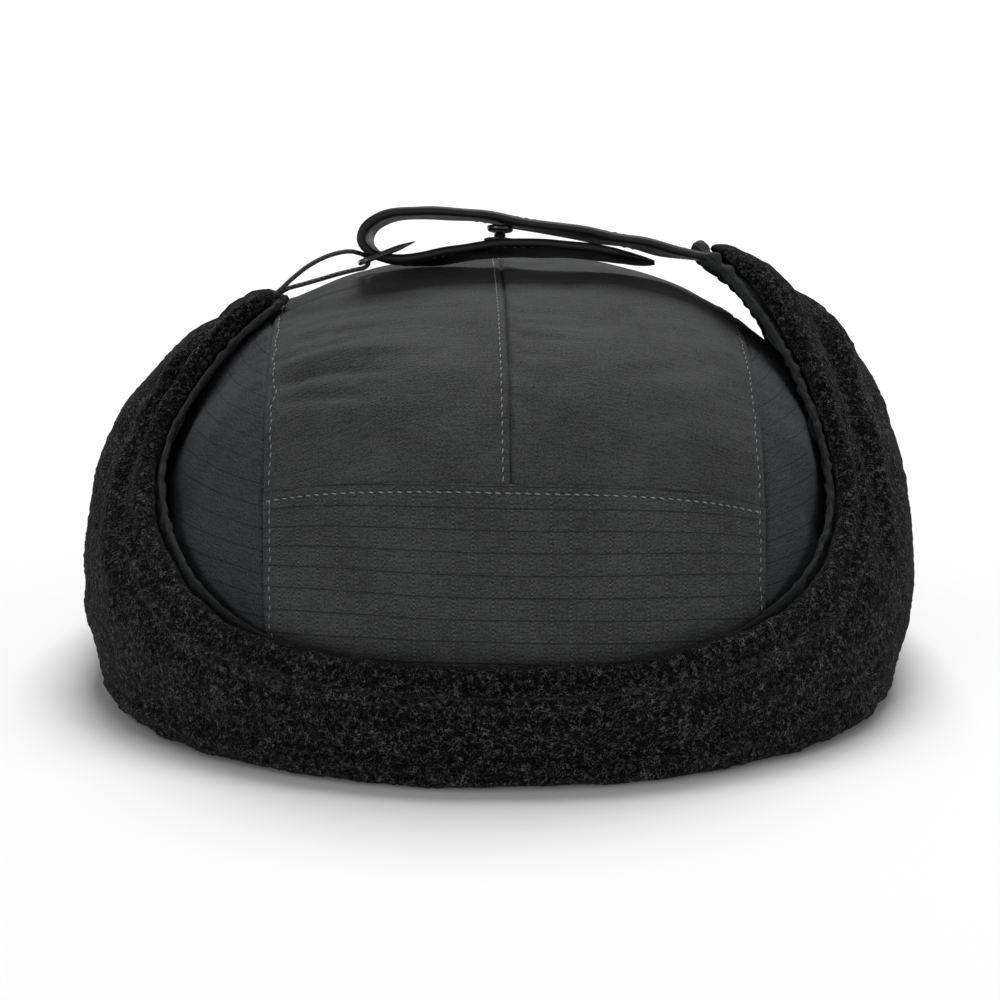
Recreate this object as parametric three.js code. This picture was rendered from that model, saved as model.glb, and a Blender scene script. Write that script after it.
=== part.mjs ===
// Earflap cap with its fleece flaps folded up and fastened over the crown.
// Millimetres, +Z up, +X the wearer's right, +Y the wearer's front.
// The cap stands on its rim at z = 0.

import * as THREE from 'three';

// Crown, measured at its outer face
const crownLeftWidth = 100.5;
const crownRightWidth = 97.5;
const crownBackDepth = 98;
const crownFrontDepth = 102;
const crownHeight = 108.5;
const planPower = 2.2;
const domePower = 2.85;
const clothWall = 2.2;
const hemHeight = 6.4;
const leftSeamX = 64;
const rightSeamX = 67.3;
const crossSeamAngle = 40.2;
const crossSeamLift = 2.65;
const crossSeamTilt = -0.83;
const seamGap = 0.3;
const sideTopShare = 0.985;
const gap = 0.3;

// Turned-up band and flaps
const fleeceThick = 6.2;
const shellThick = 1.1;
const flapEndAngle = 128;
const rimBlendEnd = 0.3;
const hemBlendStart = 0.54;
const hemBlendEnd = 0.94;
const lipStart = 0.9;
const flapBottomLow = 0.4;
const flapBottomRise = 0.8;
const bandInset = 3;
const bandHeight = 6;
const bandClearance = 1.4;
const bandRounding = 1.2;
const bandEndBlend = 8;
const frontBandOut = 2;

// Peak
const peakAngle = 52;
const peakGap = 0.5;
const peakLength = 60;
const peakSplay = 0.45;
const peakRoundness = 0.6;
const peakEndLength = 7;
const peakThick = 3.2;
const peakHeight = 10.2;
const peakSlope = 0.035;
const peakDroop = 0.0007;

// Strap, snap, hook and cord
const strapWidth = 19;
const strapThick = 2.4;
const strapTipLength = 9;
const strapLean = 0.12;
const strapRearY = -6;
const strapSteps = 44;
const strapRootIn = 3.8;
const strapRootUp = 1.6;
const strapRootTilt = 12;
const hookLength = 16.3;
const hookThick = 1.6;
const hookRail = 2.3;
const hookBar = 2;
const hookSlack = 0.7;
const hookSlotEnd = 10.5;
const hookShoulder = 0.6;
const hookEndWidth = 0.72;
const hookEndShare = 0.35;
const hookRise = 21;
const hookCrossingX = -34.8;
const hookCrossingReach = 5.15;
const hookLean = -0.02;
const hookDip = 0.2;
const cordDiameter = 1.3;
const snapX = 0;
const snapSeat = 0.6;
const socketDiameter = 7.4;
const socketHeight = 1.7;
const studPostDiameter = 3;
const studBaseDiameter = 9;
const studBaseHeight = 0.6;
const socketMouth = 0.8;
const socketBevel = 0.25;
const studBevel = 0.9;

// The flap, section by section round the head: angle 0 is the nape and +90 the right ear.
// edge: height on the crown of the free edge; lip: how far the shell shows past the fleece.
// rim, belly, hem: distance of the fleece's outer face from the crown, at the bottom fold,
// at mid-height and at the free edge.
const flapSections = [
  { angle: -128, edge: 24, lip: 0, rim: 10, belly: 10, hem: 8.5 },
  { angle: -118, edge: 50, lip: 0.6, rim: 13, belly: 12, hem: 9 },
  { angle: -110, edge: 80, lip: 1, rim: 16, belly: 15, hem: 10 },
  { angle: -104, edge: 93.5, lip: 0.6, rim: 14.6, belly: 16.2, hem: 9 },
  { angle: -95, edge: 98.6, lip: 0.1, rim: 14.6, belly: 17.9, hem: 8.3 },
  { angle: -86, edge: 97.5, lip: 0.6, rim: 14.6, belly: 19, hem: 8.6 },
  { angle: -80, edge: 81, lip: 1.8, rim: 14.8, belly: 19.5, hem: 9.4 },
  { angle: -73, edge: 65.5, lip: 1.8, rim: 15.4, belly: 19, hem: 12 },
  { angle: -66, edge: 54, lip: 1.6, rim: 17, belly: 18.6, hem: 12.6 },
  { angle: -56, edge: 42, lip: 1, rim: 18, belly: 17, hem: 11 },
  { angle: -45, edge: 34, lip: 0.5, rim: 17.8, belly: 15.2, hem: 9.4 },
  { angle: -32, edge: 31, lip: -1.2, rim: 16.4, belly: 13.6, hem: 8.2 },
  { angle: -16, edge: 29.5, lip: -1.2, rim: 15.8, belly: 13.2, hem: 8.1 },
  { angle: 0, edge: 29.2, lip: -1.2, rim: 15.6, belly: 13.2, hem: 8.1 },
  { angle: 16, edge: 29.5, lip: -1.2, rim: 15.8, belly: 13.2, hem: 8.1 },
  { angle: 32, edge: 32, lip: -1.2, rim: 16.4, belly: 13.6, hem: 8.2 },
  { angle: 42, edge: 34.6, lip: 0.5, rim: 18.2, belly: 15.2, hem: 9.2 },
  { angle: 52, edge: 41, lip: 1, rim: 18.6, belly: 17.2, hem: 11 },
  { angle: 60, edge: 49.5, lip: 1.6, rim: 17.8, belly: 18.6, hem: 11.6 },
  { angle: 66, edge: 60, lip: 1.8, rim: 17, belly: 19, hem: 11.2 },
  { angle: 73, edge: 77.5, lip: 1.4, rim: 15.6, belly: 19.9, hem: 11.2 },
  { angle: 80, edge: 91.5, lip: 1.4, rim: 15, belly: 20.3, hem: 14.2 },
  { angle: 86, edge: 99.5, lip: 1.6, rim: 14.8, belly: 20.6, hem: 19.2 },
  { angle: 95, edge: 101.2, lip: 0.6, rim: 15.8, belly: 20.3, hem: 18.8 },
  { angle: 104, edge: 97, lip: 1.2, rim: 15.4, belly: 18.3, hem: 15 },
  { angle: 110, edge: 80, lip: 1, rim: 17.5, belly: 17, hem: 11.5 },
  { angle: 118, edge: 50, lip: 0.6, rim: 14, belly: 13, hem: 9.5 },
  { angle: 128, edge: 24, lip: 0, rim: 10, belly: 10, hem: 8.5 },
];

// Stations up the flap: share of its height, and how far in from the face its round ends lie.
const flapStations = [
  { up: 0, in: 0.4 },
  { up: 0.01, in: 0.14 },
  { up: 0.06, in: 0 },
  { up: 0.2, in: 0 },
  { up: 0.36, in: 0 },
  { up: 0.5, in: 0 },
  { up: 0.62, in: 0 },
  { up: 0.72, in: 0 },
  { up: 0.82, in: 0 },
  { up: 0.93, in: 0 },
  { up: 0.985, in: 0.13 },
  { up: 1, in: 0.4 },
];

// The rear edge of the strap, from the right flap's tip over the crown to its pointed end.
// x and z place its middle thickness; tilt is how far the far edge hangs lower, in degrees.
const strapRoute = [
  { x: 43, z: 117.1, tilt: 17 },
  { x: 30, z: 120.5, tilt: 17.5 },
  { x: 16, z: 123.1, tilt: 17 },
  { x: -1, z: 126, tilt: 15.6 },
  { x: -13, z: 127.6, tilt: 15 },
  { x: -23, z: 128, tilt: 15 },
  { x: -32.4, z: 127, tilt: 14 },
  { x: -38.2, z: 123.6, tilt: 14 },
  { x: -39.3, z: 119.6, tilt: 14 },
  { x: -36, z: 115.9, tilt: 14 },
  { x: -30, z: 114.6, tilt: 15 },
  { x: -23, z: 115.2, tilt: 17 },
  { x: -14, z: 117, tilt: 19 },
  { x: -4, z: 118.6, tilt: 21 },
  { x: 10, z: 118.8, tilt: 21 },
  { x: 22, z: 117.9, tilt: 20 },
  { x: 31, z: 116.2, tilt: 19 },
];

// Taper of the strap's free end: share of the tip's length and of the full width.
const strapPoint = [
  { reach: 0.45, width: 0.72 },
  { reach: 0.8, width: 0.42 },
  { reach: 1, width: 0.14 },
];

// The elastic cord's middle line, as x, y and z from the crown's centre.
const cordRoute = [
  [-61.3, -1, 105.5],
  [-60.2, -1.1, 106.6],
  [-58, -1.5, 108.6],
  [-54, -2.2, 111.8],
  [-49, -2.8, 114.5],
  [-45, -3, 115.7],
  [-42.2, -2.6, 115.9],
  [-40.5, -1.8, 115.4],
  [-39.1, -0.7, 114.7],
  [-38, 0.1, 113.9],
  [-37.5, 0.9, 113.1],
  [-37.4, 1.7, 112.2],
  [-37.8, 2.6, 110.9],
  [-38.9, 3.3, 110],
  [-41.4, 4.2, 109.3],
  [-46, 4, 108.2],
  [-51, 3.2, 106.9],
  [-56, 2, 105.7],
  [-60, 1, 104.8],
  [-61, 0.8, 104.3],
];

const radians = THREE.MathUtils.degToRad;

function mix(a, b, share) {
  return a + (b - a) * share;
}

function smooth(share) {
  const t = Math.min(Math.max(share, 0), 1);
  return t * t * (3 - 2 * t);
}

// Smooth value of one column of a table whose rows are ordered by their angle.
function tableValue(rows, column, angle) {
  const last = rows.length - 2;
  let i = 0;
  while (i < last && angle > rows[i + 1].angle) {
    i += 1;
  }
  const slope = (k) => {
    const a = rows[Math.max(k - 1, 0)];
    const b = rows[Math.min(k + 1, rows.length - 1)];
    return (b[column] - a[column]) / (b.angle - a.angle);
  };
  const width = rows[i + 1].angle - rows[i].angle;
  const t = Math.min(Math.max((angle - rows[i].angle) / width, 0), 1);
  const rise = smooth(t);
  const startBend = t * (1 - t) * (1 - t) * width * slope(i);
  const endBend = t * t * (t - 1) * width * slope(i + 1);
  return mix(rows[i][column], rows[i + 1][column], rise) + startBend + endBend;
}

// Crown surface: (|y|/depth)^plan + |x/width|^plan, to the power dome/plan,
// plus (z/height)^dome, is 1.
function crownDepth(y) {
  return y > 0 ? crownFrontDepth : crownBackDepth;
}

function crownWidth(x) {
  return x > 0 ? crownRightWidth : crownLeftWidth;
}

function shrinkAt(z) {
  return (1 - (z / crownHeight) ** domePower) ** (1 / domePower);
}

function crownPoint(angle, z) {
  const s = Math.sin(radians(angle));
  const c = -Math.cos(radians(angle));
  const shrink = shrinkAt(z);
  const x = Math.sign(s) * crownWidth(s) * Math.abs(s) ** (2 / planPower) * shrink;
  const y = Math.sign(c) * crownDepth(c) * Math.abs(c) ** (2 / planPower) * shrink;
  return new THREE.Vector3(x, y, z);
}

function crownNormal(point) {
  const depth = crownDepth(point.y);
  const width = crownWidth(point.x);
  const u = Math.abs(point.x) / width;
  const v = Math.abs(point.y) / depth;
  const plan = u ** planPower + v ** planPower;
  const lever = plan > 0 ? plan ** (domePower / planPower - 1) : 0;
  return new THREE.Vector3(
    (Math.sign(point.x) * lever * u ** (planPower - 1)) / width,
    (Math.sign(point.y) * lever * v ** (planPower - 1)) / depth,
    (point.z / crownHeight) ** (domePower - 1) / crownHeight,
  ).normalize();
}

function offCrown(angle, z, distance) {
  const point = crownPoint(angle, z);
  return point.addScaledVector(crownNormal(point), distance);
}

// Half length of the cut through the crown at a given x and height, on the front or back side.
function cutDepth(x, z, side) {
  const plan = shrinkAt(z) ** planPower - (Math.abs(x) / crownWidth(x)) ** planPower;
  return crownDepth(side) * Math.max(plan, 0) ** (1 / planPower);
}

// Point where the plane at x meets the crown, at an angle of rise from the nape over the top.
function stripPoint(x, rise) {
  const c = Math.cos(rise);
  const s = Math.sin(rise);
  const reach = (Math.abs(x) / crownWidth(x)) ** planPower;
  const depth = crownDepth(-c);
  let low = 0;
  let high = crownFrontDepth + crownHeight;
  for (let step = 0; step < 40; step += 1) {
    const r = (low + high) / 2;
    const plan = ((r * Math.abs(c)) / depth) ** planPower + reach;
    const value = plan ** (domePower / planPower) + ((r * s) / crownHeight) ** domePower;
    if (value > 1) {
      high = r;
    } else {
      low = r;
    }
  }
  return new THREE.Vector3(x, -low * c, low * s);
}

// Closed solid between an outer and an inner grid of points with the same rows and columns.
function solidBetween(outer, inner) {
  const rows = outer.length;
  const columns = outer[0].length;
  const points = [...outer.flat(), ...inner.flat()];
  const at = (i, j, side) => side * rows * columns + i * columns + j;
  const faces = [];
  const quad = (a, b, c, d) => faces.push(a, b, c, a, c, d);
  for (let i = 0; i + 1 < rows; i += 1) {
    for (let j = 0; j + 1 < columns; j += 1) {
      quad(at(i, j, 0), at(i, j + 1, 0), at(i + 1, j + 1, 0), at(i + 1, j, 0));
      quad(at(i, j, 1), at(i + 1, j, 1), at(i + 1, j + 1, 1), at(i, j + 1, 1));
    }
  }
  for (let i = 0; i + 1 < rows; i += 1) {
    quad(at(i, 0, 0), at(i + 1, 0, 0), at(i + 1, 0, 1), at(i, 0, 1));
    quad(at(i + 1, columns - 1, 0), at(i, columns - 1, 0), at(i, columns - 1, 1), at(i + 1, columns - 1, 1));
  }
  for (let j = 0; j + 1 < columns; j += 1) {
    quad(at(0, j + 1, 0), at(0, j, 0), at(0, j, 1), at(0, j + 1, 1));
    quad(at(rows - 1, j, 0), at(rows - 1, j + 1, 0), at(rows - 1, j + 1, 1), at(rows - 1, j, 1));
  }
  return closedGeometry(points, faces);
}

// Closed solid through a list of closed sections; a ring joins its last section to its first.
function loft(sections, ring) {
  const size = sections[0].length;
  const count = sections.length;
  const faces = [];
  const spans = ring ? count : count - 1;
  for (let i = 0; i < spans; i += 1) {
    const here = i * size;
    const next = ((i + 1) % count) * size;
    for (let j = 0; j < size; j += 1) {
      const k = (j + 1) % size;
      faces.push(here + j, here + k, next + k, here + j, next + k, next + j);
    }
  }
  if (!ring) {
    for (let j = 1; j + 1 < size; j += 1) {
      faces.push(0, j + 1, j);
      faces.push((count - 1) * size, (count - 1) * size + j, (count - 1) * size + j + 1);
    }
  }
  return closedGeometry(sections.flat(), faces);
}

// Geometry from points and triangles, turned so that its faces point out.
function closedGeometry(points, faces) {
  let volume = 0;
  for (let i = 0; i < faces.length; i += 3) {
    const [a, b, c] = [points[faces[i]], points[faces[i + 1]], points[faces[i + 2]]];
    volume += a.dot(new THREE.Vector3().crossVectors(b, c));
  }
  const order = volume > 0 ? faces : faces.slice().reverse();
  const geometry = new THREE.BufferGeometry().setFromPoints(points);
  geometry.setIndex(order);
  geometry.computeVertexNormals();
  return geometry;
}

function makeMesh(name, geometry, color, roughness, metalness) {
  const material = new THREE.MeshStandardMaterial({ color, roughness, metalness });
  const mesh = new THREE.Mesh(geometry, material);
  mesh.name = name;
  return mesh;
}

const clothGrey = 0x3c3e3e;
const sideGrey = 0x383b3f;
const fleeceBlack = 0x161516;
const strapBlack = 0x1b1b1c;
const metalGrey = 0x4a4b4d;

// A crown panel is a grid of places on the crown, thickened inwards.
function crownPanel(name, rows, columns, place, color) {
  const outer = [];
  const inner = [];
  for (let i = 0; i <= rows; i += 1) {
    const points = [];
    for (let j = 0; j <= columns; j += 1) {
      points.push(place(i / rows, j / columns));
    }
    outer.push(points);
    inner.push(points.map((point) => point.clone().addScaledVector(crownNormal(point), -clothWall)));
  }
  return makeMesh(name, solidBetween(outer, inner), color, 0.85, 0);
}

// Angle of rise of the hem and of the cross seam in the plane at x.
function hemRise(x, side) {
  const rise = Math.atan2(hemHeight, cutDepth(x, hemHeight, side));
  return side > 0 ? Math.PI - rise : rise;
}

function seamRise(x, side) {
  const across = x / leftSeamX;
  const bend = crossSeamLift * across ** 2 + crossSeamTilt * across;
  const rise = radians(crossSeamAngle + bend);
  return side > 0 ? Math.PI - rise : rise;
}

// Panels of the middle strip: a lower one at the nape, two tops that meet at the centre seam,
// and one over the forehead.
function stripPanel(name, left, right, startRise, endRise, rows, columns) {
  const half = seamGap / 2;
  const gapRise = half / crownHeight;
  const place = (u, v) => {
    const x = mix(left + half, right - half, u);
    return stripPoint(x, mix(startRise(x) + gapRise, endRise(x) - gapRise, v));
  };
  return crownPanel(name, rows, columns, place, clothGrey);
}

// Side panel over the ear: rows climb from the hem to the top of the side seam.
function sidePanel(name, side) {
  const seam = (side < 0 ? leftSeamX : rightSeamX) + seamGap / 2;
  const width = crownWidth(side);
  const top = crownHeight * (1 - (seam / width) ** domePower) ** (1 / domePower);
  const reach = top - hemHeight;
  const place = (u, v) => {
    const z = hemHeight + reach * (1 - (1 - sideTopShare * u) ** 2);
    const share = seam / (width * shrinkAt(z));
    const seamAngle = THREE.MathUtils.radToDeg(Math.asin(Math.min(share, 1) ** (planPower / 2)));
    return crownPoint(side * mix(seamAngle, 180 - seamAngle, v), z);
  };
  return crownPanel(name, 13, 14, place, sideGrey);
}

const crown = new THREE.Group();
const backHem = (x) => hemRise(x, -1);
const frontHem = (x) => hemRise(x, 1);
const backSeam = (x) => seamRise(x, -1);
const frontSeam = (x) => seamRise(x, 1);
crown.add(
  stripPanel('crown_back_lower', -leftSeamX, rightSeamX, backHem, backSeam, 14, 7),
  stripPanel('crown_top_left', -leftSeamX, 0, backSeam, frontSeam, 7, 16),
  stripPanel('crown_top_right', 0, rightSeamX, backSeam, frontSeam, 7, 16),
  stripPanel('crown_front', -leftSeamX, rightSeamX, frontSeam, frontHem, 14, 7),
  sidePanel('crown_side_left', -1),
  sidePanel('crown_side_right', 1),
);

// Distance of the fleece's outer face from the crown, at a share of the flap's height.
function fleeceDistance(angle, up) {
  const rim = tableValue(flapSections, 'rim', angle);
  const belly = tableValue(flapSections, 'belly', angle);
  const hem = tableValue(flapSections, 'hem', angle);
  const low = mix(rim, belly, smooth(up / rimBlendEnd));
  return mix(low, hem, smooth((up - hemBlendStart) / (hemBlendEnd - hemBlendStart)));
}

function flapBottom(angle) {
  return flapBottomLow + flapBottomRise * Math.sin(radians(angle)) ** 2;
}

// Point of the flap at an angle, a share of its height and a depth under the fleece's face.
function flapPoint(angle, up, depth, lip = 0) {
  const edge = tableValue(flapSections, 'edge', angle);
  const proud = lip * tableValue(flapSections, 'lip', angle) * smooth((up - lipStart) / (1 - lipStart));
  const height = mix(flapBottom(angle), edge, up) + proud;
  return offCrown(angle, height, fleeceDistance(angle, up) - depth);
}

// One layer of the flap, between two depths, with round edges at its fold and its free edge.
function flapLayer(startDepth, thick, lip) {
  const outer = [];
  const inner = [];
  const steps = 54;
  for (let i = 0; i <= steps; i += 1) {
    const angle = mix(-flapEndAngle, flapEndAngle, i / steps);
    const place = (station, share) => flapPoint(angle, station.up, startDepth + share * thick, lip);
    outer.push(flapStations.map((station) => place(station, station.in)));
    inner.push(flapStations.map((station) => place(station, 1 - station.in)));
  }
  return solidBetween(outer, inner);
}

// The band under the hem, which carries the crown and from which the flap turns up.
function bandOut(angle) {
  if (Math.abs(angle) >= flapEndAngle) {
    return frontBandOut;
  }
  const reach = fleeceDistance(angle, 0) - fleeceThick - shellThick - gap - bandClearance;
  return mix(frontBandOut, reach, smooth((flapEndAngle - Math.abs(angle)) / bandEndBlend));
}

function rimBand() {
  const sections = [];
  const steps = 90;
  for (let i = 0; i < steps; i += 1) {
    const angle = mix(-180, 180, i / steps);
    const out = bandOut(angle);
    const place = (distance, z) => {
      const point = offCrown(angle, 0, distance);
      point.z = z;
      return point;
    };
    sections.push([
      place(-bandInset, 0),
      place(out - bandRounding, 0),
      place(out, bandRounding),
      place(out, bandHeight - bandRounding),
      place(out - bandRounding, bandHeight),
      place(-bandInset, bandHeight),
    ]);
  }
  return loft(sections, true);
}

const flap = new THREE.Group();
flap.add(
  makeMesh('flap_fleece', flapLayer(0, fleeceThick, 0), fleeceBlack, 0.95, 0),
  makeMesh('flap_shell', flapLayer(fleeceThick + gap, shellThick, 1), clothGrey, 0.85, 0),
  makeMesh('rim_band', rimBand(), fleeceBlack, 0.95, 0),
);

// The peak, a stiff crescent sewn along the front hem.
function peak() {
  const top = [];
  const bottom = [];
  const steps = 24;
  const rings = 6;
  for (let i = 0; i <= steps; i += 1) {
    const turn = mix(-1, 1, i / steps);
    const root = offCrown(180 - turn * peakAngle, peakHeight, peakGap);
    const length = peakEndLength + (peakLength - peakEndLength) * (1 - turn * turn) ** peakRoundness;
    const heading = new THREE.Vector3(peakSplay * turn, 1, 0).normalize();
    const upper = [];
    for (let j = 0; j <= rings; j += 1) {
      const reach = (length * j) / rings;
      const point = root.clone().addScaledVector(heading, reach);
      const droop = peakDroop * point.x * point.x * (reach / peakLength);
      point.z = peakHeight - peakSlope * reach - droop;
      upper.push(point);
    }
    top.push(upper);
    bottom.push(upper.map((point) => point.clone().setZ(point.z - peakThick)));
  }
  return solidBetween(top, bottom);
}

// Frame of the strap at each step of its route: middle point, width and thickness directions.
function strapFrames() {
  const tip = flapPoint(90, 1, fleeceThick / 2);
  const start = { x: tip.x - strapRootIn, z: tip.z + strapRootUp, tilt: strapRootTilt };
  const rows = [start, ...strapRoute];
  const route = new THREE.CatmullRomCurve3(rows.map((row) => new THREE.Vector3(row.x, strapRearY, row.z)));
  const frames = [];
  for (let i = 0; i <= strapSteps; i += 1) {
    const place = (i / strapSteps) * (rows.length - 1);
    const row = Math.min(Math.floor(place), rows.length - 2);
    const tilt = radians(mix(rows[row].tilt, rows[row + 1].tilt, place - row));
    const along = route.getTangent(i / strapSteps);
    const width = new THREE.Vector3(strapLean, Math.cos(tilt), -Math.sin(tilt)).normalize();
    const thick = new THREE.Vector3().crossVectors(width, along).normalize();
    const point = route.getPoint(i / strapSteps).addScaledVector(width, strapWidth / 2);
    frames.push({ point, along, width, thick });
  }
  return frames;
}

function strapSection(frame, width) {
  const corner = (a, b) => {
    const point = frame.point.clone().addScaledVector(frame.width, (a * width) / 2);
    return point.addScaledVector(frame.thick, (b * strapThick) / 2);
  };
  return [corner(-1, -1), corner(1, -1), corner(1, 1), corner(-1, 1)];
}

// The strap is one flat band with a pointed free end.
function strap(frames) {
  const sections = frames.map((frame) => strapSection(frame, strapWidth));
  const last = frames[frames.length - 1];
  for (const step of strapPoint) {
    const point = last.point.clone().addScaledVector(last.along, step.reach * strapTipLength);
    sections.push(strapSection({ ...last, point }, strapWidth * step.width));
  }
  return loft(sections, false);
}

// The frame of the strap's upper or lower layer that lies nearest to x.
function frameAt(frames, x, lower) {
  const half = frames.findIndex((frame) => frame.along.x > 0);
  const layer = lower ? frames.slice(half) : frames.slice(0, half);
  const distance = (frame) => Math.abs(frame.point.x - x);
  return layer.reduce((best, frame) => (distance(frame) < distance(best) ? frame : best));
}

// Flat slotted hook: the strap turns through its slot and the cord loops round its bar.
function hook(frames) {
  const crossing = frameAt(frames, hookCrossingX, true);
  const width = new THREE.Vector3(hookLean, 1, -hookDip).normalize();
  const length = new THREE.Vector3(Math.cos(radians(hookRise)), 0, Math.sin(radians(hookRise)));
  length.addScaledVector(width, -length.dot(width)).normalize();
  const normal = new THREE.Vector3().crossVectors(length, width);
  const slotHalf = strapWidth / 2 + hookSlack;
  const half = slotHalf + hookRail;
  const left = -hookBar / 2;
  const shape = new THREE.Shape();
  shape.moveTo(left, -half);
  shape.lineTo(hookLength * hookShoulder, -half);
  shape.lineTo(hookLength, -half * hookEndWidth);
  shape.lineTo(hookLength, half * hookEndWidth);
  shape.lineTo(hookLength * hookShoulder, half);
  shape.lineTo(left, half);
  const slot = new THREE.Path();
  slot.moveTo(hookBar / 2, -slotHalf);
  slot.lineTo(hookBar / 2, slotHalf);
  slot.lineTo(hookSlotEnd, slotHalf);
  slot.lineTo(hookSlotEnd, -slotHalf);
  shape.holes.push(slot);
  const geometry = new THREE.ExtrudeGeometry(shape, { depth: hookThick, bevelEnabled: false });
  geometry.translate(0, 0, -hookThick / 2);
  const position = geometry.attributes.position;
  for (let i = 0; i < position.count; i += 1) {
    const thin = mix(1, hookEndShare, smooth((position.getX(i) - hookSlotEnd) / (hookLength - hookSlotEnd)));
    position.setZ(i, position.getZ(i) * thin);
  }
  const origin = crossing.point.clone().addScaledVector(length, -hookCrossingReach);
  geometry.applyMatrix4(new THREE.Matrix4().makeBasis(length, width, normal).setPosition(origin));
  return geometry;
}

// A round piece turned from a profile of radius and height, standing at a point along an axis.
function turned(profile, point, axis) {
  const geometry = new THREE.LatheGeometry(profile.map(([r, z]) => new THREE.Vector2(r, z)), 16);
  const turn = new THREE.Quaternion().setFromUnitVectors(new THREE.Vector3(0, 1, 0), axis);
  geometry.applyQuaternion(turn);
  geometry.translate(point.x, point.y, point.z);
  return geometry;
}

// Snap between the two layers: a socket under the upper one, a stud on the lower one.
function snap(frames) {
  const upper = frameAt(frames, snapX, false);
  const lower = frameAt(frames, snapX, true);
  const axis = lower.thick.clone().sub(upper.thick).normalize();
  axis.multiplyScalar(Math.sign(axis.z));
  const reach = upper.point.clone().sub(lower.point).dot(lower.thick) / axis.dot(lower.thick);
  const studHeight = reach - strapThick - 2 * snapSeat - socketHeight - gap;
  const socketRadius = socketDiameter / 2;
  const postRadius = studPostDiameter / 2;
  const baseRadius = studBaseDiameter / 2;
  const socketProfile = [
    [0, 0],
    [socketRadius * socketMouth, 0],
    [socketRadius, socketHeight * socketBevel],
    [socketRadius, socketHeight],
    [0, socketHeight],
  ];
  const studProfile = [
    [0, 0],
    [baseRadius, 0],
    [baseRadius * studBevel, studBaseHeight],
    [postRadius, studBaseHeight],
    [postRadius, studHeight],
    [0, studHeight],
  ];
  const studFoot = upper.point.clone().addScaledVector(axis, strapThick / 2 + snapSeat - reach);
  const socketFoot = studFoot.clone().addScaledVector(axis, studHeight + gap);
  return [
    makeMesh('snap_socket', turned(socketProfile, socketFoot, axis), metalGrey, 0.4, 0.9),
    makeMesh('snap_stud', turned(studProfile, studFoot, axis), metalGrey, 0.4, 0.9),
  ];
}

// The elastic cord runs from the left flap's tip round the hook's bar and back.
function cord() {
  const route = new THREE.CatmullRomCurve3(cordRoute.map(([x, y, z]) => new THREE.Vector3(x, y, z)));
  const section = new THREE.Shape();
  section.absarc(0, 0, cordDiameter / 2, 0, 2 * Math.PI);
  return new THREE.ExtrudeGeometry(section, {
    steps: 30,
    extrudePath: route,
    curveSegments: 4,
    bevelEnabled: false,
  });
}

const frames = strapFrames();
const closure = new THREE.Group();
closure.add(
  makeMesh('strap', strap(frames), strapBlack, 0.8, 0),
  makeMesh('hook', hook(frames), metalGrey, 0.4, 0.9),
  ...snap(frames),
  makeMesh('cord_loop', cord(), strapBlack, 0.8, 0),
);

const cap = new THREE.Group();
const napeReach = flapStations.map(({ up, in: inset }) => fleeceDistance(0, up) - inset * fleeceThick);
const backReach = crownBackDepth + Math.max(...napeReach);
const frontReach = crownFrontDepth + peakLength + peakGap;
cap.position.y = (backReach - frontReach) / 2;
cap.add(crown, flap, closure, makeMesh('peak', peak(), clothGrey, 0.85, 0));

export default cap;
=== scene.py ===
import bpy
import numpy as np
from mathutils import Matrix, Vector


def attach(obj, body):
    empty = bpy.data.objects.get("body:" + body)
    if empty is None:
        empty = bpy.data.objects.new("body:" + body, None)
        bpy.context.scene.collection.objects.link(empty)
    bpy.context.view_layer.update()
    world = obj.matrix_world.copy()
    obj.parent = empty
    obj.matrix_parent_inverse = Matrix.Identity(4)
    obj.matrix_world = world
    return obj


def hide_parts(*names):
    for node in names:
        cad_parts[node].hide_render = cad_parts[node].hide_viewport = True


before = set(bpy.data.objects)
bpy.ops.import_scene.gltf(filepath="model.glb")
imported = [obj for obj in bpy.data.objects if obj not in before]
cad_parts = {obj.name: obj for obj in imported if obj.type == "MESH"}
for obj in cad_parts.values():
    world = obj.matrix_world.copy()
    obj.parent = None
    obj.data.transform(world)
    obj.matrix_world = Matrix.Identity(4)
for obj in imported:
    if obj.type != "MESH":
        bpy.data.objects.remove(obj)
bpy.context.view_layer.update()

# Camera and studio. The cap is seen from behind and a little above, through a long lens.
# A broad soft light stands high beyond the cap and lays its shadow towards the camera, a
# weaker one stands low at each side of the camera, and the floor is white.
scene = bpy.context.scene
scene.view_settings.view_transform = "Standard"
CROWN_Y = -0.024575
EYE = Vector((-0.01893, CROWN_Y - 0.69974, 0.25085))
AIM = Vector((0, CROWN_Y, 0.0427))
SENSOR_WIDTH, LENS, SHIFT_X = 36, 91.44, -0.0023
SOFT_LIGHTS = {
    "light_top": ((0.3, 2, 3.65), 2.25, 170),
    "light_left": ((-3.2, -3.6, 0.9), 2.2, 52),
    "light_right": ((3.6, -3.2, 0.9), 2.2, 48),
}
SKY_STRENGTH = 0.27
FLOOR_HALF, FLOOR_WHITE, FLOOR_ROUGHNESS = 20, 0.92, 0.9


def add_object(name, data):
    """A new object of the scene that holds data."""
    made = bpy.data.objects.new(name, data)
    scene.collection.objects.link(made)
    return made


def face_cap(thing, place):
    """Puts a camera or a lamp at a place, facing the cap."""
    thing.location = place
    thing.rotation_euler = (AIM - Vector(place)).to_track_quat("-Z", "Y").to_euler()


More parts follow.
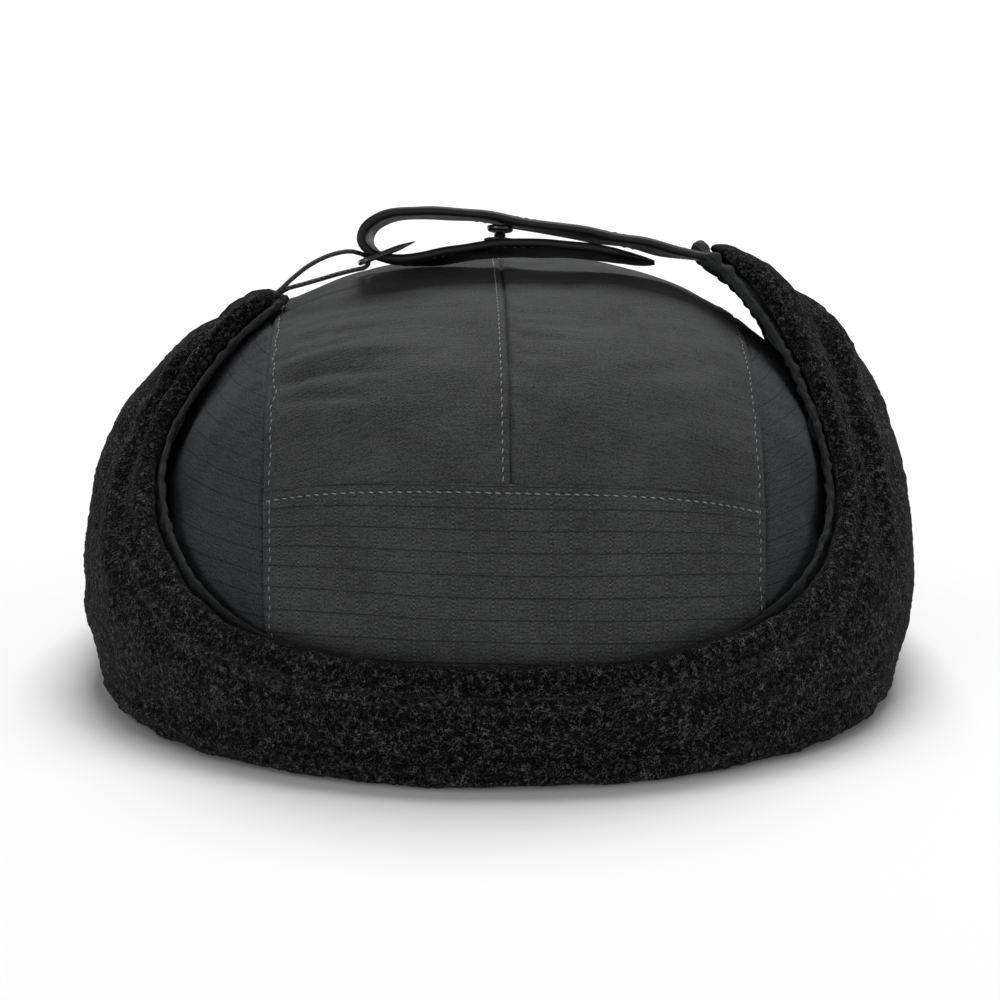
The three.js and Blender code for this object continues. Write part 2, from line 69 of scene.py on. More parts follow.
camera = add_object("camera", bpy.data.cameras.new("camera"))
face_cap(camera, EYE)
camera.data.sensor_width = SENSOR_WIDTH
camera.data.lens = LENS
camera.data.shift_x = SHIFT_X
scene.camera = camera
for name, (place, size, watts) in SOFT_LIGHTS.items():
    lamp = bpy.data.lights.new(name, "AREA")
    lamp.size = size
    lamp.energy = watts
    face_cap(add_object(name, lamp), place)
world = bpy.data.worlds.new("studio")
world.use_nodes = True
sky = world.node_tree.nodes["Background"]
sky.inputs["Strength"].default_value = SKY_STRENGTH
sky.inputs["Color"].default_value = (1, 1, 1, 1)
scene.world = world

corners = [(x * FLOOR_HALF, y * FLOOR_HALF, 0) for x, y in ((-1, -1), (1, -1), (1, 1), (-1, 1))]
floor_mesh = bpy.data.meshes.new("floor")
floor_mesh.from_pydata(corners, [], [(0, 1, 2, 3)])
floor = add_object("floor", floor_mesh)
floor_white = bpy.data.materials.new("floor_white")
floor_white.use_nodes = True
shader = floor_white.node_tree.nodes["Principled BSDF"]
shader.inputs["Base Color"].default_value = (FLOOR_WHITE, FLOOR_WHITE, FLOOR_WHITE, 1)
shader.inputs["Roughness"].default_value = FLOOR_ROUGHNESS
floor_mesh.materials.append(floor_white)

# Elastic cord: a thin round braided elastic, black. Both ends are sewn into the tip of the
# left flap, and the loop between them runs round the bar of the hook. Sizes are millimetres
# from the crown's centre.
CORD_DIAMETER, CORD_STEPS, CORD_SIDES = 1.3, 110, 14
CORD_ROUTE = [
    (-64.5, -1, 102.8),
    (-61.3, -1, 105.5),
    (-60.2, -1.1, 106.6),
    (-58, -1.5, 108.6),
    (-54, -2.2, 111.8),
    (-49, -2.8, 114.5),
    (-45, -3, 115.7),
    (-42.2, -2.6, 115.9),
    (-40.5, -1.8, 115.4),
    (-39.1, -0.7, 114.7),
    (-38, 0.1, 113.9),
    (-37.5, 0.9, 113.1),
    (-37.4, 1.7, 112.2),
    (-37.8, 2.6, 110.9),
    (-38.9, 3.3, 110),
    (-41.4, 4.2, 109.3),
    (-46, 4, 108.2),
    (-51, 3.2, 106.9),
    (-56, 2, 105.7),
    (-60, 1, 104.8),
    (-61, 0.8, 104.3),
    (-64.5, 0.8, 102.2),
]
CORD_BRAID, CORD_STRANDS = 0.0016, 4


def unit(vectors):
    """Vectors divided by their own length."""
    return vectors / np.linalg.norm(vectors, axis=-1, keepdims=True)


def length_along(path):
    """Length along a path of points from its start to each of them."""
    return np.concatenate([[0], np.cumsum(np.linalg.norm(np.diff(path, axis=0), axis=-1))])


def smooth_path(rows, steps):
    """Points on a Catmull-Rom curve through rows, the first three columns of which are a place.
    Between two rows the curve is the cubic whose end slopes are the differences of the
    neighbours, weighted by the square roots of the distances; it runs straight past its ends."""
    p = np.array(rows, float)
    p = np.vstack([2 * p[0] - p[1], p, 2 * p[-1] - p[-2]])
    t = np.linspace(0, len(rows) - 1, steps + 1)
    i = np.minimum(t.astype(int), len(rows) - 2)
    w = (t - i)[:, None]
    gaps = np.maximum(np.linalg.norm(np.diff(p[:, :3], axis=0), axis=1), 1e-6)[:, None] ** 0.5
    d0, d1, d2 = gaps[i], gaps[i + 1], gaps[i + 2]
    p0, p1, p2, p3 = p[i], p[i + 1], p[i + 2], p[i + 3]
    start = ((p1 - p0) / d0 - (p2 - p0) / (d0 + d1) + (p2 - p1) / d1) * d1
    end = ((p2 - p1) / d1 - (p3 - p1) / (d1 + d2) + (p3 - p2) / d2) * d1
    square = 3 * (p2 - p1) - 2 * start - end
    cube = 2 * (p1 - p2) + start + end
    return p1 + w * start + w**2 * square + w**3 * cube


def placed(points):
    """Millimetres from the crown's centre, as metres in the frame of the part."""
    return np.asarray(points, float).reshape(-1, 3) / 1000 + np.array([0, CROWN_Y, 0])


def grid_quads(rows, columns, first=0, close_rows=False, close_columns=False):
    """Corner numbers of the quads of a grid of points, counted row by row from first."""
    i = np.arange(rows if close_rows else rows - 1)[:, None]
    j = np.arange(columns if close_columns else columns - 1)[None, :]
    a, b = i * columns, (i + 1) % rows * columns
    k = (j + 1) % columns
    return first + np.stack([a + j, a + k, b + k, b + j], -1).reshape(-1, 4)


def circle(sides):
    """Angles of a full turn in equal steps."""
    return np.linspace(0, 2 * np.pi, sides, endpoint=False)


def loft_faces(sections, size):
    """Faces of a row of closed sections, with a fan over each end from one added point."""
    ring = np.arange(size)
    after = (ring + 1) % size
    last = (sections - 1) * size
    count = sections * size
    first_fan = np.stack([ring, after, np.full(size, count)], 1)[:, ::-1]
    last_fan = np.stack([ring + last, after + last, np.full(size, count + 1)], 1)
    return [grid_quads(sections, size, close_columns=True), first_fan, last_fan]


def tube(path, radius, sides, flat):
    """A round tube along path, closed by a point at each end. Its rings stand square to the
    path, turned so that one axis stays square to the vector flat."""
    along = unit(np.gradient(path, axis=0))
    side = unit(np.cross(along, flat))
    up = np.cross(side, along)
    turn = circle(sides)[None, :, None]
    radius = np.broadcast_to(radius, len(path))[:, None, None]
    rings = path[:, None] + radius * (np.cos(turn) * side[:, None] + np.sin(turn) * up[:, None])
    points = np.vstack([rings.reshape(-1, 3), path[:1], path[-1:]])
    return points, loft_faces(len(path), sides)


def make_piece(name, points, faces, finish, replaces=(), uv=None, sharp=50):
    """Puts points and faces in a mesh and rides it on the cap. The faces are turned out: the
    volume under them, summed over triangles from the middle, is made positive. uv gives each
    point its place on the flat cloth, in metres."""
    mesh = bpy.data.meshes.new(name)
    corners = placed(points)
    mesh.from_pydata(corners.tolist(), [], [face for part in faces for face in part.tolist()])
    triangles = [part[:, :3] for part in faces]
    triangles += [part[:, [0, 2, 3]] for part in faces if part.shape[1] == 4]
    a, b, c = corners[np.concatenate(triangles)].transpose(1, 0, 2)
    if np.einsum("ij,ij->", a - corners.mean(0), np.cross(b - a, c - a)) < 0:
        mesh.flip_normals()
    if uv is not None:
        order = np.zeros(len(mesh.loops), np.int32)
        mesh.loops.foreach_get("vertex_index", order)
        layer = mesh.uv_layers.new(name="cloth")
        layer.data.foreach_set("uv", np.asarray(uv, np.float32).reshape(-1, 2)[order].ravel())
    mesh.shade_smooth()
    mesh.set_sharp_from_angle(angle=np.radians(sharp))
    mesh.materials.append(finish)
    piece = add_object(name, mesh)
    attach(piece, "root")
    if replaces:
        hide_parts(*replaces)
    return piece


def put(tree, kind, inputs=(), **settings):
    """Adds a node, and fills its sockets with values or with other nodes' outputs."""
    made = tree.nodes.new("ShaderNode" + kind)
    for key, value in settings.items():
        setattr(made, key, value)
    for key, value in dict(inputs).items():
        if isinstance(value, bpy.types.NodeSocket):
            tree.links.new(value, made.inputs[key])
        else:
            made.inputs[key].default_value = value
    return made


def maths(tree, operation, *values):
    """The result of one sum in a node tree."""
    return put(tree, "Math", enumerate(values), operation=operation).outputs[0]


def band(tree, value, low, high, to_low=0.0, to_high=1.0):
    """value eased from to_low at low to to_high at high."""
    ends = {"From Min": low, "From Max": high, "To Min": to_low, "To Max": to_high}
    made = put(tree, "MapRange", {"Value": value, **ends}, interpolation_type="SMOOTHSTEP")
    return made.outputs[0]


def blend_colour(tree, share, dark, light):
    """Colour between dark and light, by share."""
    made = put(tree, "Mix", {"Factor": share}, data_type="RGBA")
    for index, colour in ((6, dark), (7, light)):
        if isinstance(colour, bpy.types.NodeSocket):
            tree.links.new(colour, made.inputs[index])
        else:
            made.inputs[index].default_value = (*colour, 1)
    return made.outputs[2]


def finish_of(name, roughness, sheen=0.0, specular=0.5, coat=0.0):
    """A new material with its even values on its shader, and its tree and shader."""
    made = bpy.data.materials.new(name)
    made.use_nodes = True
    shader = made.node_tree.nodes["Principled BSDF"]
    shader.inputs["Roughness"].default_value = roughness
    shader.inputs["Specular IOR Level"].default_value = specular
    shader.inputs["Sheen Weight"].default_value = sheen
    shader.inputs["Sheen Roughness"].default_value = 0.5
    shader.inputs["Coat Weight"].default_value = coat
    return made, made.node_tree, shader


def bump(tree, shader, height, distance, strength=1.0):
    """Feeds height, in units of distance, to the shader as a bump."""
    made = put(tree, "Bump", {"Height": height, "Distance": distance, "Strength": strength})
    tree.links.new(made.outputs[0], shader.inputs["Normal"])


def noise(tree, place, scale, detail=2.0, rough=0.5):
    """Value of a noise texture at a place."""
    inputs = {"Vector": place, "Scale": scale, "Detail": detail, "Roughness": rough}
    return put(tree, "TexNoise", inputs).outputs[0]


def cord_finish():
    """Black elastic: two sets of strands cross round it, each a wave of turn plus or minus
    length."""
    made, tree, shader = finish_of("cord_black", 0.55, sheen=0.15)
    uv = put(tree, "UVMap", uv_map="cloth").outputs[0]
    part = put(tree, "SeparateXYZ", {0: uv})
    turn = maths(tree, "MULTIPLY", part.outputs[0], CORD_STRANDS * 2 * np.pi)
    length = maths(tree, "MULTIPLY", part.outputs[1], 2 * np.pi / CORD_BRAID)
    one = maths(tree, "SINE", maths(tree, "ADD", turn, length))
    two = maths(tree, "SINE", maths(tree, "SUBTRACT", turn, length))
    strands = maths(tree, "MAXIMUM", one, two)
    share = band(tree, strands, -0.4, 1)
    colour = blend_colour(tree, share, (0.004, 0.004, 0.0045), (0.03, 0.031, 0.033))
    tree.links.new(colour, shader.inputs["Base Color"])
    bump(tree, shader, strands, 0.00012)
    return made


cord_path = smooth_path(CORD_ROUTE, CORD_STEPS)
cord_level = np.linalg.svd(cord_path - cord_path.mean(0))[2][2]
cord_points, cord_faces = tube(cord_path, CORD_DIAMETER / 2, CORD_SIDES, cord_level)
cord_along = length_along(cord_path) / 1000
turn = np.linspace(0, 1, CORD_SIDES, endpoint=False)
cord_uv = np.stack(np.broadcast_arrays(turn[None, :], cord_along[:, None]), -1).reshape(-1, 2)
cord_uv = np.vstack([cord_uv, [[0, 0]], [[0, cord_along[-1]]]])
cord_loop = make_piece(
    "elastic_cord", cord_points, cord_faces, cord_finish(), ["cord_loop"], cord_uv
)

# Crown cloth: six panels of a light ripstop, a wide strip from nape to forehead in four parts
# and a panel over each ear. Each is cut to the dome, its edges turned in at the seams, and the
# seam allowance is stitched down, which puckers the cloth beside it.
CROWN_LEFT, CROWN_RIGHT = 100.5, 97.5
CROWN_BACK, CROWN_FRONT = 98, 102
CROWN_HEIGHT = 108.5
PLAN_POWER, DOME_POWER = 2.2, 2.85
CLOTH_WALL = 2.2
HEM_HEIGHT = 6.4
LEFT_SEAM, RIGHT_SEAM = 64, 67.3
CROSS_RISE, CROSS_LIFT, CROSS_TILT = 40.2, 2.65, -0.83
STITCH_IN = 2.1
FINE_STEP, COARSE_STEP, FINE_REACH = 0.42, 1.15, 5
FARTHEST, HALVINGS, RIDGE_STEPS = 250, 36, 721
DIVE, CROSS_DIVE, DIVE_WIDTH = 0.75, 0.35, 0.5
SWELL, PLAIN_SWELL, ALLOWANCE, ALLOWANCE_EDGE = 0.34, 0.12, 5.2, 2.6
STITCH_DIP, STITCH_DIP_WIDTH = 0.26, 0.6
PUCKER, PUCKER_LENGTH, PUCKER_REACH = 0.2, 8.5, 6.5
CALM_BESIDE_SEAM = 14
SIDE_STEPS, SIDE_TOP = (135, 105), 0.992
SIDE_SWELL, SIDE_SWELL_HEIGHT, SIDE_SWELL_WIDTH = 1.5, 74, 22
# Spacings of the threads on the flat cloth, in metres
RIP_ACROSS, RIP_ALONG = 0.00495, 0.00565
WEAVE, BIAS_RIB, THREAD_BEAT = 0.0005, 0.00078, 0.0011


def crown_width(x):
    """Half the crown's width on the side of x."""
    return np.where(x > 0, CROWN_RIGHT, CROWN_LEFT)


def crown_depth(y):
    """Half the crown's length on the side of y."""
    return np.where(y > 0, CROWN_FRONT, CROWN_BACK)


def shrink(z):
    """Share of the crown's plan that is left at a height."""
    return (1 - (z / CROWN_HEIGHT) ** DOME_POWER) ** (1 / DOME_POWER)


def crown_at(angle, z):
    """Point of the crown at an angle round the head, in degrees from the nape, and a height.
    The plan is a superellipse and so is the profile over it."""
    angle, z = np.broadcast_arrays(np.radians(angle), np.asarray(z, float))
    s, c = np.sin(angle), -np.cos(angle)
    x = np.sign(s) * crown_width(s) * np.abs(s) ** (2 / PLAN_POWER) * shrink(z)
    y = np.sign(c) * crown_depth(c) * np.abs(c) ** (2 / PLAN_POWER) * shrink(z)
    return np.stack([x, y, z], -1)


def crown_normal(point):
    """Direction out of the crown: the slope of the dome's formula at a point."""
    x, y, z = point[..., 0], point[..., 1], point[..., 2]
    u, v = np.abs(x) / crown_width(x), np.abs(y) / crown_depth(y)
    lever = np.maximum(u**PLAN_POWER + v**PLAN_POWER, 1e-12) ** (DOME_POWER / PLAN_POWER - 1)
    slope = [
        np.sign(x) * lever * u ** (PLAN_POWER - 1) / crown_width(x),
        np.sign(y) * lever * v ** (PLAN_POWER - 1) / crown_depth(y),
        (np.maximum(z, 0) / CROWN_HEIGHT) ** (DOME_POWER - 1) / CROWN_HEIGHT,
    ]
    return unit(np.stack(slope, -1))


def strip_at(x, rise):
    """Point where the plane at x meets the crown, at an angle of rise from the nape over the
    top. The distance out is found by halving."""
    x, rise = np.broadcast_arrays(np.asarray(x, float), rise)
    c, s = np.cos(rise), np.sin(rise)
    beside = (np.abs(x) / crown_width(x)) ** PLAN_POWER
    low, high = np.zeros_like(c), np.full_like(c, FARTHEST)
    for _ in range(HALVINGS):
        r = (low + high) / 2
        plan = (r * np.abs(c) / crown_depth(-c)) ** PLAN_POWER + beside
        outside = plan ** (DOME_POWER / PLAN_POWER) + (r * s / CROWN_HEIGHT) ** DOME_POWER > 1
        high, low = np.where(outside, r, high), np.where(outside, low, r)
    return np.stack([x, -low * c, low * s], -1)


def smooth(share):
    """A share eased from 0 to 1, flat at both ends."""
    t = np.clip(share, 0, 1)
    return t * t * (3 - 2 * t)


def bell(offset, width):
    """Bell curve of height 1 at no offset."""
    return np.exp(-((offset / width) ** 2))


def length_across(grid):
    """Length along each row of a grid of points, from the row's start."""
    steps = np.linalg.norm(np.diff(grid, axis=1), axis=-1)
    return np.pad(np.cumsum(steps, 1), ((0, 0), (1, 0)))


def waves(u, v, length, count, seed):
    """Uneven relief of about unit height: plane waves of nearly one length, in all directions."""
    rng = np.random.default_rng(seed)
    total = 0
    turns, phases, sizes = rng.uniform([[0], [0], [0.7]], [[6.28], [6.28], [1.5]], (3, count))
    for turn, phase, size in zip(turns, phases, sizes):
        ahead = (u * np.cos(turn) + v * np.sin(turn)) / (size * length)
        total = total + np.sin(2 * np.pi * ahead + phase)
    return total / np.sqrt(count / 2)


def crease(u, v, start, end, width, depth):
    """A groove of bell section along the line from start to end, fading out at both ends."""
    along = np.array(end, float) - start
    reach = np.hypot(*along)
    t = ((u - start[0]) * along[0] + (v - start[1]) * along[1]) / reach
    off = ((u - start[0]) * along[1] - (v - start[1]) * along[0]) / reach
    ends = smooth(t / (0.15 * reach)) * smooth((reach - t) / (0.5 * reach))
    return -depth * bell(off, width) * ends


def seam_relief(distance, along, stitched, seed, dive=DIVE):
    """Height of the cloth at a distance from a seam: it dives into the seam, swells over the
    folded allowance, dips in the row of stitches and puckers along it."""
    swell = SWELL if stitched else PLAIN_SWELL
    relief = swell * smooth((ALLOWANCE - distance) / ALLOWANCE_EDGE)
    relief = relief - dive * bell(distance, DIVE_WIDTH)
    if stitched:
        relief = relief - STITCH_DIP * bell(distance - STITCH_IN, STITCH_DIP_WIDTH)
    pucker = PUCKER * waves(along, 0.25 * distance, PUCKER_LENGTH, 5, seed)
    fade = np.exp(-np.maximum(distance, 0) / PUCKER_REACH) * smooth(distance / 1.5)
    return relief + pucker * fade


def steps_over(length):
    """Shares of a length, closer together near its two ends."""
    near = np.arange(0, FINE_REACH, FINE_STEP)
    count = int((length - 2 * FINE_REACH) / COARSE_STEP)
    middle = np.linspace(FINE_REACH, length - FINE_REACH, count)
    return np.concatenate([near, middle, (length - near)[::-1]]) / length


def cut_depth(x, z, side):
    """Half the length of the cut through the crown at x and z, at the nape or the forehead."""
    plan = shrink(z) ** PLAN_POWER - (np.abs(x) / crown_width(x)) ** PLAN_POWER
    return crown_depth(side) * np.maximum(plan, 0) ** (1 / PLAN_POWER)


def hem_rise(x, side):
    """Angle of rise of the hem at x, at the nape or the forehead."""
    rise = np.arctan2(HEM_HEIGHT, cut_depth(x, HEM_HEIGHT, side))
    return np.pi - rise if side > 0 else rise


def cross_rise(x, side):
    """Angle of rise of the cross seam at x: it sags in the middle and climbs to the left."""
    across = x / LEFT_SEAM
    rise = np.radians(CROSS_RISE + CROSS_LIFT * across**2 + CROSS_TILT * across)
    return np.pi - rise if side > 0 else rise


def over_crown(rise):
    """Length over the crown's middle from the nape to an angle of rise."""
    return np.interp(rise, ridge_rise, ridge_length)


ridge_rise = np.linspace(0, np.pi, RIDGE_STEPS)
ridge_length = length_along(strip_at(0, ridge_rise))
PANELS = {
    "lower": (-LEFT_SEAM, RIGHT_SEAM, lambda x: hem_rise(x, -1), lambda x: cross_rise(x, -1), 1),
    "left": (-LEFT_SEAM, 0, lambda x: cross_rise(x, -1), lambda x: cross_rise(x, 1), 2),
    "right": (0, RIGHT_SEAM, lambda x: cross_rise(x, -1), lambda x: cross_rise(x, 1), 3),
    "front": (-LEFT_SEAM, RIGHT_SEAM, lambda x: cross_rise(x, 1), lambda x: hem_rise(x, 1), 4),
}
# Folds of each panel: start, end, width and depth of a crease, on the panel's flat cloth
FOLDS = {
    "lower": [
        ((2, 64.3), (40, 66.5), 0.9, 0.6),
        ((-60, 46), (-18, 41), 3, 0.4),
        ((16, 52), (60, 57), 2.6, 0.4),
        ((-40, 30), (0, 27), 2.2, 0.3),
        ((-63, 67.5), (-20, 70), 1.2, 0.45),
        ((-63, 37), (-48, 33), 1.7, 0.6),
        ((34, 33.5), (66, 37), 2, 0.6),
    ],
    "left": [
        ((-63, 119.5), (-20, 108), 2.2, 1.1),
        ((-63, 126), (-14, 117), 2.6, -0.9),
        ((-63, 112), (-30, 100), 1.8, 0.7),
        ((-63, 106), (-24, 95), 2.4, -0.5),
        ((-60, 137), (-8, 129), 2.6, 0.6),
        ((-58, 145), (-4, 141), 2.4, 0.5),
        ((-60, 97), (-18, 85), 2.6, 0.45),
        ((-57, 115), (-49, 121), 0.6, 0.5),
        ((-52, 128), (-20, 128), 1.4, 0.35),
    ],
    "right": [
        ((1, 136), (26, 133), 1.5, 0.5),
        ((1, 129), (24, 126), 1.4, 0.5),
        ((1, 122), (24, 119), 1.4, 0.5),
        ((1, 114), (20, 112), 1.5, 0.4),
        ((26, 106), (63, 126), 3, 0.5),
        ((30, 140), (63, 150), 3, 0.5),
        ((10, 92), (46, 84), 3, 0.35),
    ],
    "front": [((-40, 240), (-8, 236), 3, 0.4), ((12, 250), (50, 246), 3, 0.4)],
}


def strip_cloth(part, x, rise):
    """Point of a strip panel's cloth, and its place on the flat cloth: the crown's point, moved
    along its normal by soft waves, creases and the relief of the seams."""
    left, right, start, end, seed = PANELS[part]
    x, rise = np.broadcast_arrays(np.asarray(x, float), rise)
    point = strip_at(x, rise)
    u, v = x, over_crown(rise)
    from_start, from_end = v - over_crown(start(x)), over_crown(end(x)) - v
    height = 0.42 * waves(u, v, 46, 6, seed) + 0.16 * waves(0.55 * u, v, 13, 9, seed + 10)
    height = height * smooth(np.minimum(x - left, right - x) / CALM_BESIDE_SEAM)
    height = height * smooth(np.minimum(from_start, from_end) / CALM_BESIDE_SEAM)
    for fold in FOLDS[part]:
        height = height + crease(u, v, *fold)
    height = height + seam_relief(x - left, v, part != "right", seed + 20)
    height = height + seam_relief(right - x, v, part != "left", seed + 30)
    height = height + seam_relief(from_start, u, part == "front", seed + 40, CROSS_DIVE)
    height = height + seam_relief(from_end, u, part == "lower", seed + 50, CROSS_DIVE)
    bow = 6.8 * smooth((v - 20) / 42) * (x / LEFT_SEAM) ** 2 - 0.026 * x
    grain = v - bow * (part == "lower")
    return point + crown_normal(point) * height[..., None], np.stack([u, grain], -1) / 1000


def side_cloth(side, share, up):
    """Point of a side panel's cloth, from the rear seam to the front one and from the hem up,
    and its place on the flat cloth."""
    share, up = np.broadcast_arrays(np.asarray(share, float), up)
    width = CROWN_RIGHT if side > 0 else CROWN_LEFT
    seam = RIGHT_SEAM if side > 0 else LEFT_SEAM
    top = CROWN_HEIGHT * (1 - (seam / width) ** DOME_POWER) ** (1 / DOME_POWER)
    z = HEM_HEIGHT + (top - HEM_HEIGHT) * (1 - (1 - SIDE_TOP * up) ** 2)
    edge = np.minimum(seam / (width * shrink(z)), 1) ** (PLAN_POWER / 2)
    edge = np.degrees(np.arcsin(edge))
    point = crown_at(side * (edge + (180 - 2 * edge) * share), z)
    around = length_across(point)
    around = around - around[:, -1:] / 2
    climb = length_along(point[:, point.shape[1] // 2])[:, None] + 0 * z
    to_seam = (np.abs(point[..., 0]) - seam) * 1.1
    height = 0.6 * waves(around, z, 40, 6, 61 + side) + 0.16 * waves(around, z, 15, 8, 71 + side)
    if side > 0:
        height = height + SIDE_SWELL * bell(z - SIDE_SWELL_HEIGHT, SIDE_SWELL_WIDTH)
    height = height * smooth(to_seam / CALM_BESIDE_SEAM)
    height = height + seam_relief(to_seam, z + around, False, 81 + side)
    return point + crown_normal(point) * height[..., None], np.stack([around, climb], -1) / 1000


def weighted(tree, *parts):
    """Sum of values of a node tree, each times its weight."""
    total, *others = (maths(tree, "MULTIPLY", value, weight) for value, weight in parts)
    for other in others:
        total = maths(tree, "ADD", total, other)
    return total


def wave_of(tree, value, length):
    """Sine of a value, with one wave to each length of it."""
    return maths(tree, "SINE", maths(tree, "MULTIPLY", value, 2 * np.pi / length))


def tint(colour, factor):
    """A colour made darker or lighter."""
    return tuple(factor * value for value in colour)


def cloth_finish(name, colour, line, across=1.0, along=1.0, twill=0.0):
    """Ripstop: a plain weave of 0.5 mm with a thicker thread every few millimetres both ways,
    across and along giving how far each shows, and a slanting rib where it is cut on the bias.
    A thread is a bell of the distance to the nearest line of a grid on the flat cloth. Level
    threads are plain dark lines, and upright ones are broken into pale dots and dark gaps."""
    made, tree, shader = finish_of(name, 0.75, sheen=0.03, specular=0.14)
    shader.inputs["Sheen Roughness"].default_value = 0.4
    uv = put(tree, "UVMap", uv_map="cloth").outputs[0]
    u, v = put(tree, "SeparateXYZ", {0: uv}).outputs[:2]
    upright = maths(tree, "PINGPONG", u, RIP_ACROSS / 2)
    upright = band(tree, upright, 0.00012, 0.00034, across, 0)
    level = maths(tree, "PINGPONG", v, RIP_ALONG / 2)
    level = band(tree, level, 0.00006, 0.00024, along, 0)
    beat = wave_of(tree, v, THREAD_BEAT)
    dots = maths(tree, "MULTIPLY", upright, band(tree, beat, -0.4, 0.5))
    gaps = maths(tree, "MULTIPLY", upright, band(tree, beat, -0.6, 0.2, 1, 0))
    grid = maths(tree, "MAXIMUM", gaps, level)
    weave = maths(tree, "MULTIPLY", wave_of(tree, u, WEAVE), wave_of(tree, v, WEAVE))
    rib = wave_of(tree, weighted(tree, (u, 0.8), (v, 1)), BIAS_RIB)
    weave = weighted(tree, (weave, 0.6), (rib, twill))
    soft = noise(tree, uv, 45, 3)
    stretched = put(tree, "Mapping", {"Vector": uv, "Scale": (260, 1900, 1)}).outputs[0]
    slub = noise(tree, stretched, 1, 2)
    speck = noise(tree, uv, 1700, 3, 0.8)
    shade = weighted(tree, (soft, 0.16), (slub, 0.22), (speck, 0.62), (rib, 0.05 * twill))
    base = blend_colour(tree, band(tree, shade, 0.38, 0.62), tint(colour, 0.5), tint(colour, 1.6))
    base = blend_colour(tree, maths(tree, "MULTIPLY", dots, 0.8), base, tint(colour, 2))
    base = blend_colour(tree, maths(tree, "MULTIPLY", grid, 0.7), base, line)
    tree.links.new(base, shader.inputs["Base Color"])
    bump(tree, shader, weighted(tree, (weave, 0.25), (grid, 0.7), (slub, 0.5)), 0.00016)
    return made


def make_sheet(name, outer, inner, finish, node, flat):
    """A closed piece between two grids of points of one size, joined round their edges."""
    rows, columns = outer.shape[:2]
    count = rows * columns
    number = np.arange(count).reshape(rows, columns)
    edge = np.concatenate([number[0, :-1], number[:-1, -1], number[-1, :0:-1], number[:0:-1, 0]])
    after = np.roll(edge, -1)
    border = np.stack([after, edge, edge + count, after + count], 1)
    faces = [grid_quads(rows, columns), grid_quads(rows, columns, count)[:, ::-1], border]
    points = np.vstack([outer.reshape(-1, 3), inner.reshape(-1, 3)])
    make_piece(name, points, faces, finish, [node], np.stack([flat, flat]))


GREY, GREY_LINE = (0.042, 0.043, 0.043), (0.013, 0.0135, 0.014)
SIDE_GREY, SIDE_LINE = (0.035, 0.0365, 0.0402), (0.012, 0.013, 0.0145)
crown_grey = cloth_finish("ripstop_square", GREY, GREY_LINE)
top_grey = cloth_finish("ripstop_bias", GREY, GREY_LINE, 0.35, 0.25, 0.5)
side_grey = cloth_finish("ripstop_side", SIDE_GREY, SIDE_LINE, 0.1, 0.9)
for part, node, grey in (
    ("lower", "crown_back_lower", crown_grey),
    ("left", "crown_top_left", top_grey),
    ("right", "crown_top_right", top_grey),
    ("front", "crown_front", crown_grey),
):
    left, right, start, end = PANELS[part][:4]
    x = left + (right - left) * steps_over(right - left)[None, :]
    share = steps_over(float(over_crown(end(x.mean())) - over_crown(start(x.mean()))))[:, None]
    rise = start(x) + (end(x) - start(x)) * share
    cloth, flat = strip_cloth(part, x, rise)
    base = strip_at(x, rise)
    lining = base - crown_normal(base) * CLOTH_WALL
    make_sheet("cloth_" + node, cloth, lining, grey, node, flat)
for side, node in ((-1, "crown_side_left"), (1, "crown_side_right")):
    around, climb = SIDE_STEPS
    cloth, flat = side_cloth(side, steps_over(around)[None, :], steps_over(climb)[:, None])
    lining = cloth - crown_normal(cloth) * CLOTH_WALL
    make_sheet("cloth_" + node, cloth, lining, side_grey, node, flat)

# Stitches: rows of pale grey thread, one stitch to 2.5 mm, through the turned-in allowance
# beside each seam of the crown. Each stitch is a short bar that sinks into the cloth at its ends.
STITCH_PITCH, STITCH_LENGTH, THREAD, STITCH_SLANT = 2.5, 1.75, 0.38, 0.13
STITCH_PLACES = np.array([-0.5, -0.3, 0, 0.3, 0.5])
STITCH_LIFTS = np.array([-0.15, 0.08, 0.16, 0.08, -0.15])
STITCH_SLANTS = STITCH_SLANT * np.array([-1, -0.6, 0, 0.6, 1])
STITCH_GIRTHS = np.array([0.75, 1, 0.75])
STITCH_SIDES = 6
ROW_STEPS, ROW_WANDER, CROSS_REACH = 260, 0.15, 96
JOG, JOG_PLACE, JOG_LENGTH = 1.3, 115, 3


def thread_finish(name, dark, light):
    """Spun thread: bands of dark and light wound round each stitch."""
    made, tree, shader = finish_of(name, 0.6, sheen=0.2)
    place = put(tree, "TexCoord").outputs["Object"]
    twist = noise(tree, place, 2600, 1)
    tree.links.new(blend_colour(tree, twist, dark, light), shader.inputs["Base Color"])
    bump(tree, shader, twist, 0.0001, 0.6)
    return made


